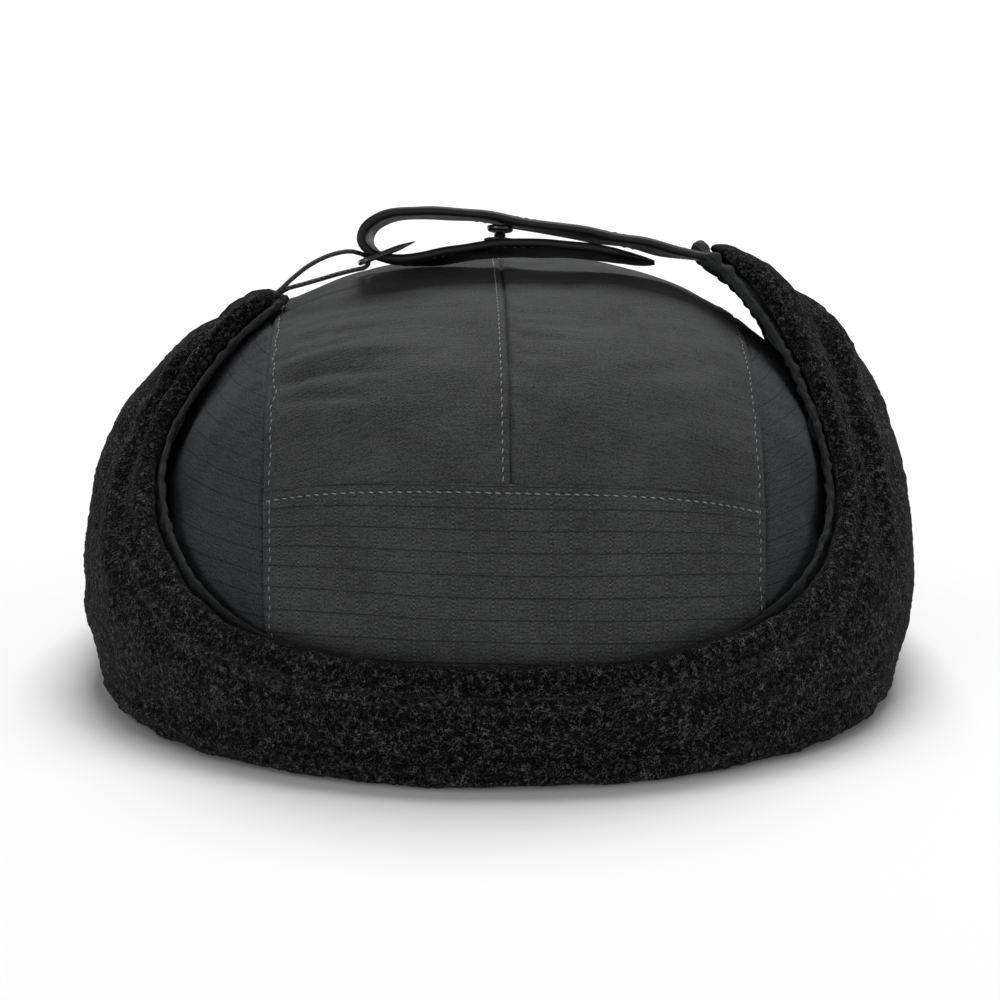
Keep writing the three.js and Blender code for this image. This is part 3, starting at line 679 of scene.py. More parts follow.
def stitch_row(name, path, finish, out=None, thick=THREAD):
    """One mesh of stitches along a path of points. A stitch has three rings of points, widest
    in the middle, and a point at each end that lies lower than the rings."""
    out = crown_normal(path) if out is None else out
    along = length_along(path)
    middle = np.arange(STITCH_PITCH / 2, along[-1] - STITCH_PITCH / 2, STITCH_PITCH)[:, None]
    place = middle + STITCH_LENGTH * STITCH_PLACES
    spine = np.stack([np.interp(place, along, path[:, k]) for k in range(3)], -1)
    up = unit(np.stack([np.interp(place, along, out[:, k]) for k in range(3)], -1))
    side = unit(np.cross(unit(spine[:, -1:] - spine[:, :1]), up))
    spine = spine + up * STITCH_LIFTS[:, None] + side * STITCH_SLANTS[:, None]
    turn = circle(STITCH_SIDES)[None, None, :, None]
    radius = thick / 2 * STITCH_GIRTHS[None, :, None, None]
    rings = np.cos(turn) * side[:, 1:4, None] + np.sin(turn) * up[:, 1:4, None]
    rings = spine[:, 1:4, None] + radius * rings
    count = len(spine)
    points = np.concatenate([rings.reshape(count, -1, 3), spine[:, [0, 4]]], 1)
    shift = points.shape[1] * np.arange(count)[:, None, None]
    faces = [(part + shift).reshape(-1, part.shape[1]) for part in loft_faces(3, STITCH_SIDES)]
    make_piece(name, points, faces, finish, sharp=180)


pale_thread = thread_finish("thread_pale", (0.1, 0.104, 0.114), (0.26, 0.27, 0.29))
line = np.linspace(0, 1, ROW_STEPS)
for side, name in ((-1, "left"), (1, "right")):
    x = side * ((RIGHT_SEAM if side > 0 else LEFT_SEAM) - STITCH_IN)
    for part in ("lower", name, "front"):
        start, end = PANELS[part][2](x), PANELS[part][3](x)
        rise = start + (end - start) * (0.01 + 0.98 * line)
        run = over_crown(rise)
        jog = JOG * bell(run - JOG_PLACE, JOG_LENGTH) * (side < 0)
        wander = ROW_WANDER * waves(run, 0, 11, 5, 7 + side)
        path = strip_cloth(part, x + jog + wander, rise)[0]
        stitch_row("stitches_side_" + name + "_" + part, path, pale_thread)
rise = cross_rise(0, -1) + (cross_rise(0, 1) - cross_rise(0, -1)) * line
stitch_row("stitches_centre", strip_cloth("left", -STITCH_IN, rise)[0], pale_thread)
x = 0.985 * (-LEFT_SEAM + (LEFT_SEAM + RIGHT_SEAM) * line)
for part, side in (("lower", -1), ("front", 1)):
    beside = cross_rise(x, side) + side * STITCH_IN / CROSS_REACH
    stitch_row("stitches_cross_" + part, strip_cloth(part, x, beside)[0], pale_thread)

# Turned-up band and flaps: one long piece of black curly fleece round the nape and ears,
# folded up at the rim. Its pile is short loops that clump in lumps of about two millimetres.
FLEECE_THICK, FLEECE_CAP = 6.2, 3.1
FLEECE_SECTIONS, FLEECE_RING = 611, (112, 9, 22)
FLEECE_ROUND = 118
FLAP_END = 128
RIDGE, TIP_SWELL, EDGE_SWELL, HEM_TIP_OUT = 1.9, 1.3, 1.6, 1.4
RIDGE_ANGLES = (-104, -86, -73, -60, -45, 45, 60, 73, 86, 104)
RIDGE_BELOW = (7, 8, 11, 13, 11, 11, 15, 14, 11, 9)
# One row to an angle round the head: the height of the edge, how far the shell's lip stands
# past it, and the distance of the face from the crown at the rim, the belly and the hem
FLAP_TABLE = np.array(
    [
        (-128, 24, 0, 10, 10, 8.5),
        (-118, 50, 0.6, 13, 12, 9),
        (-110, 80, 1, 16, 15, 10),
        (-104, 93.5, 0.6, 14.6, 16.2, 9),
        (-95, 98, 0.1, 14.6, 17.9, 9.8),
        (-86, 96.8, 0.6, 14.6, 19, 9.8),
        (-80, 81, 1.8, 14.8, 19.5, 9.4),
        (-73, 65.5, 1.8, 15.4, 19, 12),
        (-66, 54, 1.6, 17, 18.6, 12.6),
        (-56, 42, 1, 18, 17, 11),
        (-45, 34, 0.5, 17.8, 15.2, 9.4),
        (-32, 31, -1.2, 16.4, 13.6, 8.2),
        (-16, 29.5, -1.2, 15.8, 13.2, 8.1),
        (0, 29.2, -1.2, 15.6, 13.2, 8.1),
        (16, 29.5, -1.2, 15.8, 13.2, 8.1),
        (32, 32, -1.2, 16.4, 13.6, 8.2),
        (42, 34.6, 0.5, 18.2, 15.2, 9.2),
        (52, 41, 1, 18.6, 17.2, 11),
        (60, 49.5, 1.6, 17.8, 18.6, 11.6),
        (66, 60, 1.8, 17, 19, 11.2),
        (73, 77.5, 1.4, 15.6, 19.9, 11.2),
        (80, 91.5, 1.4, 15, 20.3, 14.2),
        (86, 99.5, 1.6, 14.8, 20.6, 19.2),
        (95, 101.2, 0.6, 15.8, 20.3, 18.4),
        (104, 97, 1.2, 15.4, 18.3, 15),
        (110, 80, 1, 17.5, 17, 11.5),
        (118, 50, 0.6, 14, 13, 9.5),
        (128, 24, 0, 10, 10, 8.5),
    ],
    float,
)
EDGE, LIP, RIM, BELLY, HEM = 1, 2, 3, 4, 5


def table_value(column, angle):
    """Smooth value of a column of the table at an angle: cubics with the slopes of the chords."""
    rows, value = FLAP_TABLE[:, 0], FLAP_TABLE[:, column]
    number = np.arange(len(rows))
    before, after = np.maximum(number - 1, 0), np.minimum(number + 1, len(rows) - 1)
    slope = (value[after] - value[before]) / (rows[after] - rows[before])
    i = np.clip(np.searchsorted(rows, angle, side="left") - 1, 0, len(rows) - 2)
    width = rows[i + 1] - rows[i]
    t = np.clip((angle - rows[i]) / width, 0, 1)
    bend = t * (1 - t) ** 2 * width * slope[i] + t * t * (t - 1) * width * slope[i + 1]
    return value[i] + (value[i + 1] - value[i]) * smooth(t) + bend


def flap_bottom(angle):
    """Height of the fold at the rim, which rises a little at the ears."""
    return 0.4 + 0.8 * np.sin(np.radians(angle)) ** 2


def fleece_distance(angle, up):
    """Distance of the fleece's face from the crown: from rim to belly to hem as it climbs."""
    rim, belly, hem = (table_value(column, angle) for column in (RIM, BELLY, HEM))
    low = rim + (belly - rim) * smooth(up / 0.3)
    return low + (hem - low) * smooth((up - 0.54) / 0.4)


def off_crown(angle, z, distance):
    """Point at a distance out from the crown, along its normal."""
    point = crown_at(angle, z)
    return point + crown_normal(point) * np.asarray(distance)[..., None]


def flap_at(angle, up, depth, lip=0.0):
    """Point of the flap at an angle, a share of its height, and a depth under the fleece's face."""
    proud = lip * table_value(LIP, angle) * smooth((up - 0.9) / 0.1)
    z = flap_bottom(angle) + (table_value(EDGE, angle) - flap_bottom(angle)) * up + proud
    return off_crown(angle, z, fleece_distance(angle, up) - depth)


def ring_stations(height, thick, faces, ends, backs, cap):
    """Shares of height and of thickness round a section: up the face, over the round top edge,
    down the back and under the round bottom edge. height has one value a section."""
    e = np.minimum(cap / height, 0.2)[:, None]
    q = np.linspace(0, 1, faces)[None, :]
    arc = np.linspace(0, np.pi, ends + 2)[None, 1:-1]
    back = np.linspace(1, 0, backs)[None, :]
    up = [e + q * (1 - 2 * e), 1 - e + e * np.sin(arc), e + back * (1 - 2 * e), e - e * np.sin(arc)]
    depth = [0 * q, (1 - np.cos(arc)) / 2, 1 + 0 * back, (1 + np.cos(arc)) / 2]
    up, depth = np.concatenate(up, 1), np.concatenate(depth, 1) * thick
    return up, np.broadcast_to(depth, up.shape)


def grid_normals(points, close_rows=False):
    """Unit normals of a grid of sections that are closed loops."""
    around = np.roll(points, -1, 1) - np.roll(points, 1, 1)
    along = np.gradient(points, axis=0)
    if close_rows:
        along = np.roll(points, -1, 0) - np.roll(points, 1, 0)
    return unit(np.cross(around, along))


def lumps(u, v, pitch, seed):
    """Height from 0 to 1 of round lumps: a dome over the nearest of the points of a grid of
    that pitch, each shifted within its cell by the fraction of a large multiple of a sine."""
    cu, cv = np.floor(u / pitch), np.floor(v / pitch)
    nearest = np.full(np.shape(u), 9.0)
    for i in (-1, 0, 1):
        for j in (-1, 0, 1):
            a, b = cu + i, cv + j
            turn = np.sin(a * 127.1 + b * 311.7 + seed) * 43758.5453
            other = np.sin(a * 269.5 + b * 183.3 + seed) * 43758.5453
            du = a + 0.5 + 0.8 * (turn - np.floor(turn) - 0.5) - u / pitch
            dv = b + 0.5 + 0.8 * (other - np.floor(other) - 0.5) - v / pitch
            nearest = np.minimum(nearest, np.hypot(du, dv))
    return np.sqrt(np.clip(1 - (nearest / 0.85) ** 2, 0, 1))


def fleece_relief(u, v):
    """Height of the pile in millimetres, on coordinates in millimetres."""
    u = u + 0.5 * waves(u, v, 4, 5, 3)
    v = v + 0.5 * waves(u, v, 4, 5, 4)
    coarse = lumps(u, v, 2.1, 1.3)
    fine = lumps(u + 3.1, v + 1.7, 1.3, 5.1)
    return 0.38 * coarse + 0.4 * fine - 0.45 + 0.2 * waves(u, v, 14, 6, 5)


def make_loft(name, shape, finish, node, uv, sharp=50):
    """A piece through a row of closed sections, each end closed by a point in its middle."""
    points = np.vstack([shape.reshape(-1, 3), shape[:1].mean(1), shape[-1:].mean(1)])
    make_piece(name, points, loft_faces(*shape.shape[:2]), finish, [node], uv, sharp)


def flat_places(sideways, around):
    """Places on the flat cloth of a loft's points and of its two end points."""
    places = np.stack([sideways, around], -1).reshape(-1, 2) / 1000
    return np.vstack([places, places[:1], places[-1:]])


def fleece_finish(name):
    """Curly pile: curls along the lines where a noise crosses its middle value, in paler and
    darker patches. The curls and lit spots are painted pale as highlights on the loops, the
    near black between them is painted shade, and a soft sheen comes where the loops catch the
    light."""
    made, tree, shader = finish_of(name, 0.95, sheen=0.07, specular=0.08)
    shader.inputs["Sheen Roughness"].default_value = 0.4
    shader.inputs["Sheen Tint"].default_value = (0.8, 0.82, 0.85, 1)
    place = put(tree, "TexCoord").outputs["Object"]
    bend = put(tree, "TexNoise", {"Vector": place, "Scale": 300, "Detail": 1.0}).outputs["Color"]
    bend = put(tree, "VectorMath", {0: bend, 3: 0.0012}, operation="SCALE").outputs[0]
    place = put(tree, "VectorMath", {0: place, 1: bend}, operation="ADD").outputs[0]
    off = maths(tree, "ABSOLUTE", maths(tree, "SUBTRACT", noise(tree, place, 1150, 1), 0.5))
    curls = band(tree, off, 0.0, 0.1, 1, 0)
    lit = band(tree, noise(tree, place, 620, 3, 0.7), 0.42, 0.62)
    patches = band(tree, noise(tree, place, 150, 2), 0.35, 0.65, 0.6, 1)
    tone = maths(tree, "MULTIPLY", maths(tree, "MULTIPLY", curls, lit), patches)
    # The pale colour is a painted highlight on the curls and lit spots; the near black is painted
    # shade between them.
    colour = blend_colour(tree, tone, (0.0008, 0.0008, 0.0009), (0.115, 0.111, 0.115))
    tree.links.new(colour, shader.inputs["Base Color"])
    bump(tree, shader, weighted(tree, (curls, 0.5), (lit, 1)), 0.0006)
    return made


fleece_black = fleece_finish("fleece_curls")
angle = np.linspace(-FLAP_END, FLAP_END, FLEECE_SECTIONS)
height = table_value(EDGE, angle) - flap_bottom(angle)
up, depth = ring_stations(height, FLEECE_THICK, *FLEECE_RING, FLEECE_CAP)
shape = flap_at(angle[:, None], up, depth)
around = length_across(shape)
sideways = np.radians(angle)[:, None] * FLEECE_ROUND + 0 * around
relief = fleece_relief(sideways, around)
# The pile is pressed flat on the back, which the shell covers.
hidden = smooth((depth / FLEECE_THICK - 0.55) / 0.4) * smooth((0.97 - up) / 0.05)
relief = relief * (1 - hidden) - 0.35 * hidden
# The face is quilted: over the nape a groove under the edge and another above the rim, and
# at each ear a ridge with a hollow under it. A fold is a size, a distance from it and a width.
below_edge = (1 - up) * height[:, None]
on_nape = smooth((78 - np.abs(angle)) / 22)[:, None]
under_line = 5 + 20 * smooth((angle - 25) / 55)[:, None]
ridge_line = np.interp(angle, RIDGE_ANGLES, RIDGE_BELOW)[:, None]
away_from_tip = 1 - 0.85 * bell(np.abs(angle) - 95, 14)[:, None]
folds = (
    (-2.4 * on_nape, below_edge - 8, 1.3),
    (-1.3 * on_nape, up * height[:, None] - under_line, 1.4),
    (RIDGE * (1 - on_nape), below_edge - ridge_line, 3.2),
    (-1.7 * (1 - on_nape) * away_from_tip, below_edge - ridge_line - 7, 3.2),
)
for size, away, width in folds:
    relief = relief + size * bell(away, width) * (depth == 0)
# The pile stands fuller over the tips of the flaps and along the inner edge of the nape.
outer_half = depth < FLEECE_THICK / 2
at_tip = bell(angle + 94, 9) + 0.6 * bell(angle - 93, 10)
relief = relief + TIP_SWELL * at_tip[:, None] * smooth((up - 0.86) / 0.12) * outer_half
inner_edge = smooth((48 - np.abs(angle)) / 14)[:, None] * smooth((up - 0.72) / 0.2)
relief = relief + EDGE_SWELL * inner_edge * (depth > FLEECE_THICK / 2)
shape = shape + grid_normals(shape) * relief[..., None]
fleece_uv = flat_places(sideways, around)
make_loft("fleece_flaps", shape, fleece_black, "flap_fleece", fleece_uv, sharp=180)

# Shell: the grey cloth side of the flaps, which lies against the crown now that they are
# turned up. Its edge stands a little past the fleece, and at the ears it is rolled into a
# round hem that the seam gathers.
SHELL_THICK, SHELL_GAP = 1.1, 0.3
SHELL_SECTIONS, SHELL_RING, SHELL_ROUND = 520, (46, 6, 46), 110
HEM_STEPS, HEM_SIDES, HEM_GATHER, HEM_OUT = 460, 18, 0.16, 0.2
HEM_ROWS = {
    "left": ((-122, -104, -95, -80, -60, -40), (0.5, 0.9, 1.2, 0.9, 0.7, 0.3)),
    "right": ((40, 56, 66, 80, 88, 96, 106, 122), (0.3, 0.7, 1, 1.25, 2.1, 2.1, 1.3, 0.6)),
}

shell_grey = cloth_finish("shell_ripstop", (0.024, 0.025, 0.026), (0.01, 0.0105, 0.011), 0.08)
angle = np.linspace(-FLAP_END, FLAP_END, SHELL_SECTIONS)
height = table_value(EDGE, angle) - flap_bottom(angle)
up, depth = ring_stations(height, SHELL_THICK, *SHELL_RING, SHELL_THICK)
shape = flap_at(angle[:, None], up, depth + FLEECE_THICK + SHELL_GAP, 1)
around = length_across(shape)
sideways = np.radians(angle)[:, None] * SHELL_ROUND + 0 * around
gather = smooth((up - 0.8) / 0.2) * smooth((np.abs(angle) - 40) / 20)[:, None]
crinkle = waves(sideways, 0.3 * around, 6.5, 6, 33) * np.where(angle > 0, 0.55, 0.3)[:, None]
shape = shape + crown_normal(shape) * ((crinkle - 0.3) * gather)[..., None]
shell_uv = flat_places(sideways, around)
make_loft("flap_shell_cloth", shape, shell_grey, "flap_shell", shell_uv)

for name, (hem_angles, hem_radii) in HEM_ROWS.items():
    angle = np.linspace(hem_angles[0], hem_angles[-1], HEM_STEPS)
    depth = np.full(HEM_STEPS, FLEECE_THICK + SHELL_GAP + SHELL_THICK / 2)
    path = flap_at(angle, np.ones(HEM_STEPS), depth, 1)
    along_hem = length_along(path)
    radius = np.interp(angle, hem_angles, hem_radii)
    out = HEM_OUT * radius + HEM_TIP_OUT * bell(angle - 93, 9)
    path = path + crown_normal(path) * out[:, None]
    points, faces = tube(path, radius, HEM_SIDES, crown_normal(path))
    turn = np.concatenate([np.tile(circle(HEM_SIDES), HEM_STEPS), [0, 0]])
    step = np.concatenate([np.repeat(np.arange(HEM_STEPS), HEM_SIDES), [0, HEM_STEPS - 1]])
    run = along_hem[step]
    gathers = waves(run, 2.5 * np.sin(turn), 5.5, 6, 35)
    gathers = gathers + 0.5 * waves(run, 2 * np.sin(turn), 2.6, 6, 36)
    points = points + (points - path[step]) * HEM_GATHER * gathers[:, None]
    hem_uv = np.stack([run, 2 * turn], 1) / 1000
    make_piece("shell_hem_" + name, points, faces, shell_grey, (), hem_uv)

# Rim band: the fleece under the hem that the cap stands on, a flat ring inside the fold, its
# section a box with round corners.
BAND_INSET, BAND_HEIGHT, BAND_GAP, BAND_AT_FRONT = 3, 6, 1.4, 2
BAND_SECTIONS, BAND_SIDES, BAND_CORNER = 560, 30, 0.4
BAND_ROUND, BAND_GIRTH = 105, 28


def round_wave(value, power):
    """A sine or cosine whose humps are made flatter by a power."""
    return np.sign(value) * np.abs(value) ** power


def make_ring(name, shape, finish, node):
    """A piece through closed sections that follow one another in a closed ring."""
    faces = [grid_quads(*shape.shape[:2], close_rows=True, close_columns=True)]
    make_piece(name, shape, faces, finish, [node], sharp=180)


angle = np.linspace(-180, 180, BAND_SECTIONS, endpoint=False)
reach = fleece_distance(np.clip(angle, -FLAP_END, FLAP_END), 0)
reach = reach - FLEECE_THICK - SHELL_THICK - SHELL_GAP - BAND_GAP
out = BAND_AT_FRONT + (reach - BAND_AT_FRONT) * smooth((FLAP_END - np.abs(angle)) / 8)
turn = circle(BAND_SIDES)
outward, upward = round_wave(np.cos(turn), BAND_CORNER), round_wave(np.sin(turn), BAND_CORNER)
wide = (out[:, None] - BAND_INSET) / 2 + (out[:, None] + BAND_INSET) / 2 * outward
shape = off_crown(angle[:, None], 0, wide)
shape[..., 2] = BAND_HEIGHT / 2 * (1 + upward)
sideways, around = np.radians(angle)[:, None] * BAND_ROUND, np.linspace(0, BAND_GIRTH, BAND_SIDES)
relief = fleece_relief(sideways, around[None, :]) * 0.35 - 0.1
shape = shape + grid_normals(shape, True) * relief[..., None]
shape[..., 2] = np.maximum(shape[..., 2], 0)
make_ring("rim_band_fleece", shape, fleece_black, "rim_band")

# Strap: a folded band of black twill, sewn into the tip of the right flap. It runs over the
# crown, turns through the hook and comes back under itself to its pointed end.
STRAP_WIDTH, STRAP_THICK = 19, 2.4
STRAP_REAR, STRAP_LEAN = -6, 0.12
STRAP_STEPS, STRAP_TIP_STEPS, STRAP_COLUMNS = 300, 24, 27
STRAP_TIP, STRAP_SEWN = 11, 4
STRAP_ROOT_IN, STRAP_ROOT_UP, STRAP_ROOT_TILT = 3.8, -1.6, 13
STRAP_STITCH_IN, STRAP_STITCH_UNDER, STRAP_THREAD = 2.2, 0.28, 0.26
STRAP_EDGE_ROUND, STRAP_DIP, STRAP_DIP_WIDTH = 1.1, 0.16, 0.5
TWILL_RIB = 0.00055
STRAP_ROUTE = [
    (43, 118, 17),
    (30, 120.9, 17.5),
    (16, 123.1, 17),
    (-1, 126, 15.6),
    (-13, 127.6, 15),
    (-23, 128, 15),
    (-32.4, 127, 14),
    (-38.2, 123.6, 14),
    (-39.3, 119.6, 14),
    (-36, 115.9, 14),
    (-30, 114.6, 15),
    (-23, 115.2, 17),
    (-14, 117, 19),
    (-4, 118.6, 21),
    (10, 118.8, 21),
    (22, 117.9, 20),
    (31, 116.2, 19),
]
tip = flap_at(np.array(90.0), np.array(1.0), FLEECE_THICK / 2)
root_x, root_z = tip[0] - STRAP_ROOT_IN, tip[2] + STRAP_ROOT_UP
rows = [
    (root_x + STRAP_SEWN, STRAP_REAR, root_z - STRAP_SEWN / 4, STRAP_ROOT_TILT),
    (root_x, STRAP_REAR, root_z, STRAP_ROOT_TILT),
    *((x, STRAP_REAR, z, tilt) for x, z, tilt in STRAP_ROUTE),
]
route = smooth_path(rows, STRAP_STEPS)
along = unit(np.gradient(route[:, :3], axis=0))
tilt = np.radians(route[:, 3])
width = unit(np.stack([np.full(len(tilt), STRAP_LEAN), np.cos(tilt), -np.sin(tilt)], -1))
thick = unit(np.cross(width, along))
middle = route[:, :3] + width * STRAP_WIDTH / 2
reach = np.linspace(0, 1, STRAP_TIP_STEPS)[1:]
middle = np.vstack([middle, middle[-1] + along[-1] * (reach * STRAP_TIP)[:, None]])
along, width, thick = (
    np.vstack([part, np.repeat(part[-1:], len(reach), 0)]) for part in (along, width, thick)
)
whole = np.ones(len(route))
half = np.concatenate([whole, np.interp(reach, [0, 0.45, 0.8, 1], [1, 0.76, 0.5, 0.26])])
half = half * STRAP_WIDTH / 2
ply = np.concatenate([whole, np.interp(reach, [0, 0.35, 1], [1, 0.9, 0.3])])[:, None]


def strap_section(half):
    """Offsets across the width and the thickness round each section: two plies with round
    edges and a groove between them, and a dip where each edge is stitched."""
    across = np.linspace(-1, 1, STRAP_COLUMNS)
    layer = np.repeat([1.0, -1.0], STRAP_COLUMNS)
    a = np.concatenate([across, -across])[None, :] * half[:, None]
    to_edge = half[:, None] - np.abs(a)
    face = 1 - (1 - np.clip(to_edge / STRAP_EDGE_ROUND, 0, 1)) ** 2
    face = np.sqrt(np.clip(face, 0.05, 1))
    dip = STRAP_DIP * bell(to_edge - STRAP_STITCH_IN, STRAP_DIP_WIDTH)
    return a, layer * (STRAP_THICK / 2 * face - dip)


def strap_finish(name):
    """Black twill: fine diagonal ribs on the flat cloth, with a pale band painted along each edge
    as a highlight.
    """
    made, tree, shader = finish_of(name, 0.42, specular=0.2)
    uv = put(tree, "UVMap", uv_map="cloth").outputs[0]
    u, v = put(tree, "SeparateXYZ", {0: uv}).outputs[:2]
    ribs = wave_of(tree, maths(tree, "ADD", u, v), TWILL_RIB)
    soft = noise(tree, uv, 240, 3)
    # A pale band along each edge of the strap is a painted highlight for the gloss of its folded
    # edges.
    wear_and_edge_highlight = band(tree, maths(tree, "ABSOLUTE", u), 0.0086, 0.0094)
    tone = band(tree, weighted(tree, (soft, 0.8), (ribs, 0.05)), 0.2, 0.75)
    colour = blend_colour(tree, tone, (0.0012, 0.0012, 0.0014), (0.004, 0.004, 0.0044))
    wear_and_edge_highlight = maths(tree, "MULTIPLY", wear_and_edge_highlight, 0.5)
    colour = blend_colour(tree, wear_and_edge_highlight, colour, (0.03, 0.03, 0.031))
    tree.links.new(colour, shader.inputs["Base Color"])
    bump(tree, shader, weighted(tree, (ribs, 0.4), (soft, 1)), 0.00008, 0.8)
    return made


a, b = strap_section(half)
length = length_along(middle)
b = b * ply + 0.12 * waves(a, length[:, None], 16, 6, 91)
shape = middle[:, None] + width[:, None] * a[..., None] + thick[:, None] * b[..., None]
strap_uv = np.stack(np.broadcast_arrays(a, length[:, None]), -1).reshape(-1, 2) / 1000
strap_uv = np.vstack([strap_uv, [[0, 0]], [[0, length[-1] / 1000]]])
strap_black = strap_finish("strap_twill")
make_loft("strap_twill", shape, strap_black, "strap", strap_uv)

black_thread = thread_finish("thread_black", (0.006, 0.006, 0.0065), (0.02, 0.02, 0.021))
rows = np.arange(6, len(route) - 4)
for name, share in (("rear", -1), ("front", 1)):
    edge = middle[rows] + width[rows] * share * (STRAP_WIDTH / 2 - STRAP_STITCH_IN)
    for face_name, face in (("outer", 1), ("inner", -1)):
        out = thick[rows] * face
        path = edge + out * (STRAP_THICK / 2 - STRAP_STITCH_UNDER)
        row_name = "stitches_strap_" + name + "_" + face_name
        stitch_row(row_name, path, black_thread, out, STRAP_THREAD)

# Hook: a flat slotted plate of black lacquered metal with round edges. The strap passes
# through its slot, the cord goes round its left bar, and its right end thins to a lip.
HOOK_LENGTH, HOOK_THICK, HOOK_RAIL, HOOK_BAR = 16.3, 1.6, 2.3, 2
HOOK_SLACK, HOOK_SLOT_END, HOOK_END_SHARE = 0.7, 10.5, 0.35
HOOK_RISE, HOOK_CROSSING_X, HOOK_CROSSING_REACH = 21, -34.8, 5.15
HOOK_LEAN, HOOK_DIP = -0.02, 0.2
HOOK_STEPS, HOOK_SIDES, HOOK_EDGE = 120, 20, 0.6
SLOT_CORNER, PLATE_CORNER = 9, 5


def round_box(turn, left, right, half, power):
    """Distance from the middle of a box to its edge in each direction, its corners rounded."""
    reach = np.where(np.cos(turn) > 0, right, left)
    sides = np.abs(np.cos(turn) / reach) ** power + np.abs(np.sin(turn) / half) ** power
    return sides ** (-1 / power)


def lacquer_finish(name, dark, light):
    """Lacquered metal: smooth and glossy, with faint unevenness and paler worn spots."""
    made, tree, shader = finish_of(name, 0.28, specular=0.6, coat=0.35)
    place = put(tree, "TexCoord").outputs["Object"]
    soft = noise(tree, place, 320, 3)
    wear_and_edge_highlight = band(tree, soft, 0.4, 0.75)
    tree.links.new(blend_colour(tree, wear_and_edge_highlight, dark, light), shader.inputs["Base Color"])
    tree.links.new(band(tree, soft, 0.3, 0.8, 0.22, 0.4), shader.inputs["Roughness"])
    bump(tree, shader, soft, 0.0002, 0.3)
    return made


lacquer_black = lacquer_finish("lacquer_black", (0.005, 0.005, 0.0055), (0.013, 0.013, 0.014))
turned_back = int(np.argmax(along[:, 0] > 0))
crossing = turned_back + int(np.argmin(np.abs(middle[turned_back:, 0] - HOOK_CROSSING_X)))
hook_wide = unit(np.array([HOOK_LEAN, 1, -HOOK_DIP]))
hook_long = np.array([np.cos(np.radians(HOOK_RISE)), 0, np.sin(np.radians(HOOK_RISE))])
hook_long = unit(hook_long - hook_wide * (hook_long @ hook_wide))
hook_out = np.cross(hook_long, hook_wide)
hook_origin = middle[crossing] - hook_long * HOOK_CROSSING_REACH
slot_half = STRAP_WIDTH / 2 + HOOK_SLACK
slot_middle = (HOOK_BAR / 2 + HOOK_SLOT_END) / 2
slot_reach = HOOK_SLOT_END - slot_middle
turn = circle(HOOK_STEPS)[:, None]
ring = circle(HOOK_SIDES)[None, :]
inner = round_box(turn, slot_reach, slot_reach, slot_half, SLOT_CORNER)
to_left, to_right = slot_middle + HOOK_BAR / 2, HOOK_LENGTH - slot_middle
outer = round_box(turn, to_left, to_right, slot_half + HOOK_RAIL, PLATE_CORNER)
across, over = round_wave(np.cos(ring), HOOK_EDGE), round_wave(np.sin(ring), HOOK_EDGE)
reach = (inner + outer) / 2 + (outer - inner) / 2 * across
a, b = slot_middle + reach * np.cos(turn), reach * np.sin(turn)
thin = 1 + (HOOK_END_SHARE - 1) * smooth((a - HOOK_SLOT_END) / (HOOK_LENGTH - HOOK_SLOT_END))
c = over * HOOK_THICK / 2 * thin
shape = hook_origin + a[..., None] * hook_long + b[..., None] * hook_wide + c[..., None] * hook_out
make_ring("hook_plate", shape, lacquer_black, "hook")

# Snap: a small press fastener of black lacquered metal between the two layers of the strap,
# its socket riveted under the upper layer and its stud on the lower one.
SNAP_X, SNAP_SEAT, SNAP_GAP, SNAP_SIDES = 0, 0.6, 0.3, 40
SOCKET_RADIUS, SOCKET_HEIGHT = 3.7, 1.7
STUD_POST, STUD_BASE, STUD_BASE_HEIGHT = 1.5, 4.5, 0.6


def turned(profile, foot, axis):
    """A round piece: a profile of radius and height turned about an axis, a point at each end."""
    profile = np.array(profile, float)
    across = unit(np.cross(axis, [0.0, 1.0, 0.3]))
    other = np.cross(axis, across)
    turn = circle(SNAP_SIDES)[None, :, None]
    rings = foot + profile[1:-1, 1, None, None] * axis
    rings = rings + profile[1:-1, 0, None, None] * (np.cos(turn) * across + np.sin(turn) * other)
    ends = foot + profile[[0, -1], 1, None] * axis
    return np.vstack([rings.reshape(-1, 3), ends]), loft_faces(len(profile) - 2, SNAP_SIDES)


upper = int(np.argmin(np.abs(middle[:turned_back, 0] - SNAP_X)))
lower = turned_back + int(np.argmin(np.abs(middle[turned_back:, 0] - SNAP_X)))
snap_axis = unit(thick[lower] - thick[upper])
snap_axis = snap_axis * np.sign(snap_axis[2])
snap_reach = (middle[upper] - middle[lower]) @ thick[lower] / (snap_axis @ thick[lower])
stud_height = snap_reach - STRAP_THICK - 2 * SNAP_SEAT - SOCKET_HEIGHT - SNAP_GAP
stud_foot = middle[upper] + snap_axis * (STRAP_THICK / 2 + SNAP_SEAT - snap_reach)
socket_foot = stud_foot + snap_axis * (stud_height + SNAP_GAP)
socket_profile = [
    (0, 0.35),
    (1.7, 0.35),
    (1.9, 0.05),
    (2.8, 0),
    (3.3, 0.2),
    (3.6, 0.6),
    (SOCKET_RADIUS, 1),
    (SOCKET_RADIUS, SOCKET_HEIGHT - 0.2),
    (SOCKET_RADIUS - 0.3, SOCKET_HEIGHT),
    (0, SOCKET_HEIGHT),
]
stud_profile = [
    (0, 0),
    (STUD_BASE - 0.3, 0),
    (STUD_BASE, 0.15),
    (STUD_BASE, 0.35),
    (STUD_BASE - 0.5, STUD_BASE_HEIGHT),
    (STUD_POST + 0.5, STUD_BASE_HEIGHT + 0.1),
    (STUD_POST, STUD_BASE_HEIGHT + 0.6),
    (STUD_POST, stud_height - 1),
    (STUD_POST + 0.25, stud_height - 0.6),
    (STUD_POST, stud_height - 0.15),
    (STUD_POST - 0.3, stud_height),
    (0, stud_height),
]
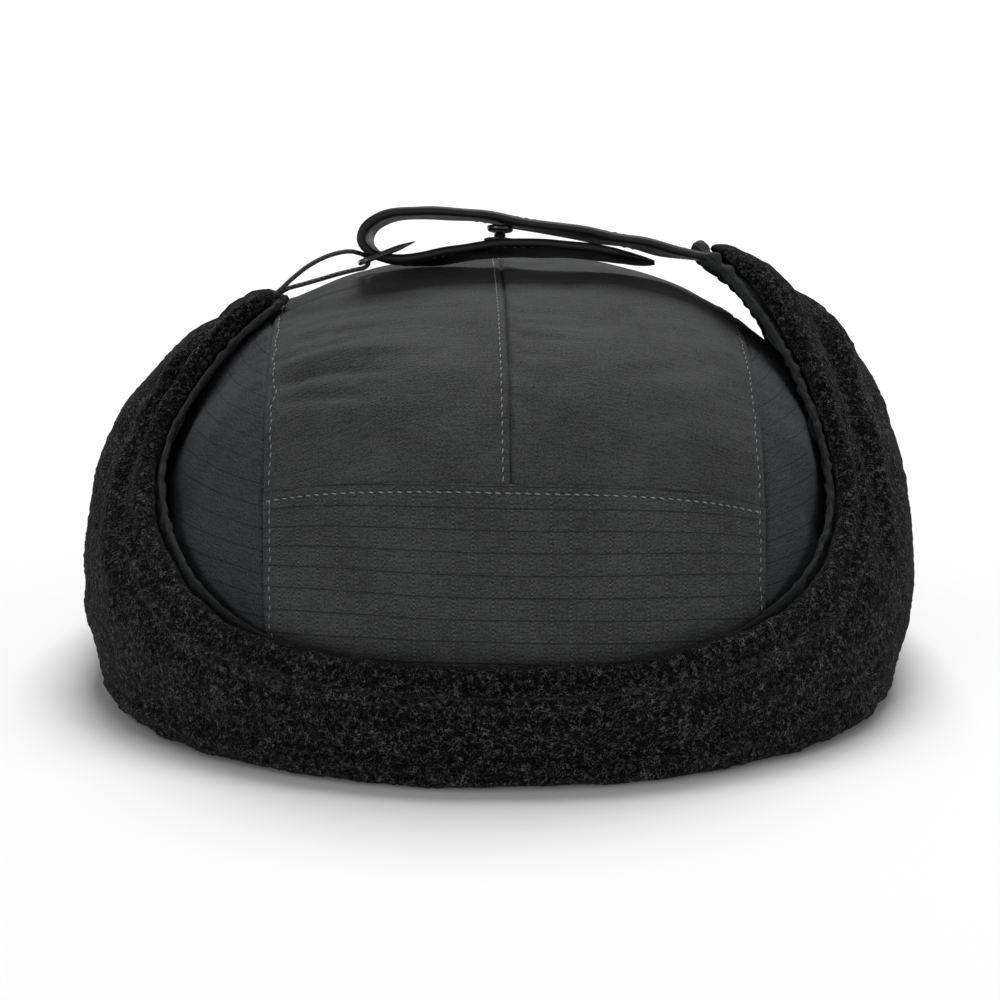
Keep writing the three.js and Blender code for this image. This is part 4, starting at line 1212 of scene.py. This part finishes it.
for name, node, profile, foot in (
    ("snap_socket_turned", "snap_socket", socket_profile, socket_foot),
    ("snap_stud_turned", "snap_stud", stud_profile, stud_foot),
):
    points, faces = turned(profile, foot, snap_axis)
    make_piece(name, points, faces, lacquer_black, [node], sharp=60)

# Peak: a stiff crescent covered in the crown's cloth and sewn along the front hem.
# Rows of stitches run parallel to its front edge.
PEAK_ANGLE, PEAK_GAP, PEAK_HEIGHT = 52, 0.5, 10.2
PEAK_LENGTH, PEAK_END, PEAK_THICK = 60, 7, 3.2
PEAK_SLOPE, PEAK_DROOP = 0.035, 0.0007
PEAK_TAPER, PEAK_SPREAD, PEAK_EDGE_ROUND = 0.6, 0.45, 1.6
PEAK_ACROSS, PEAK_ALONG = 150, 64
PEAK_ROWS, PEAK_ROW_SCALE, PEAK_DIP, PEAK_DIP_WIDTH = (5, 12, 19, 26, 33), 40, 0.18, 0.7
PEAK_ROW_STEPS = 300


def peak_at(turn, share):
    """Point of the peak's upper face: out from the hem by a share of its length there, which
    falls from the middle to the ends, sloping down and drooping with the square of x."""
    turn, share = np.broadcast_arrays(np.asarray(turn, float), share)
    root = off_crown(180 - turn * PEAK_ANGLE, PEAK_HEIGHT, PEAK_GAP + 0 * turn)
    length = PEAK_END + (PEAK_LENGTH - PEAK_END) * np.maximum(1 - turn * turn, 0) ** PEAK_TAPER
    heading = unit(np.stack([PEAK_SPREAD * turn, np.ones_like(turn), 0 * turn], -1))
    reach = length * share
    point = root + heading * reach[..., None]
    droop = PEAK_DROOP * point[..., 0] ** 2 * reach / PEAK_LENGTH
    point[..., 2] = PEAK_HEIGHT - PEAK_SLOPE * reach - droop
    return point


turn = np.linspace(-1, 1, PEAK_ACROSS)[:, None]
share = (1 - np.cos(np.linspace(0, np.pi, PEAK_ALONG)))[None, :] / 2
top = peak_at(turn, share)
to_rim = np.minimum((1 - share) * PEAK_ROW_SCALE, (1 - np.abs(turn)) * PEAK_LENGTH)
rounded = 1 - (1 - np.clip(to_rim / PEAK_EDGE_ROUND, 0, 1)) ** 2
drop = PEAK_THICK / 2 * (1 - np.sqrt(np.clip(rounded, 0, 1)))
drop = drop + PEAK_DIP * bell(to_rim - PEAK_ROWS[0], PEAK_DIP_WIDTH)
upper, under = top.copy(), top.copy()
upper[..., 2] = top[..., 2] - drop
under[..., 2] = top[..., 2] - PEAK_THICK + drop
make_sheet("peak_cloth", upper, under, crown_grey, "peak", top[..., :2] / 1000)

turn = np.linspace(-0.9, 0.9, PEAK_ROW_STEPS)
upright = np.tile([0.0, 0, 1], (PEAK_ROW_STEPS, 1))
for number, inset in enumerate(PEAK_ROWS):
    path = peak_at(turn, 1 - inset / PEAK_ROW_SCALE)
    path[:, 2] = path[:, 2] - PEAK_DIP * (number == 0)
    stitch_row("stitches_peak_" + str(number), path, black_thread, upright)
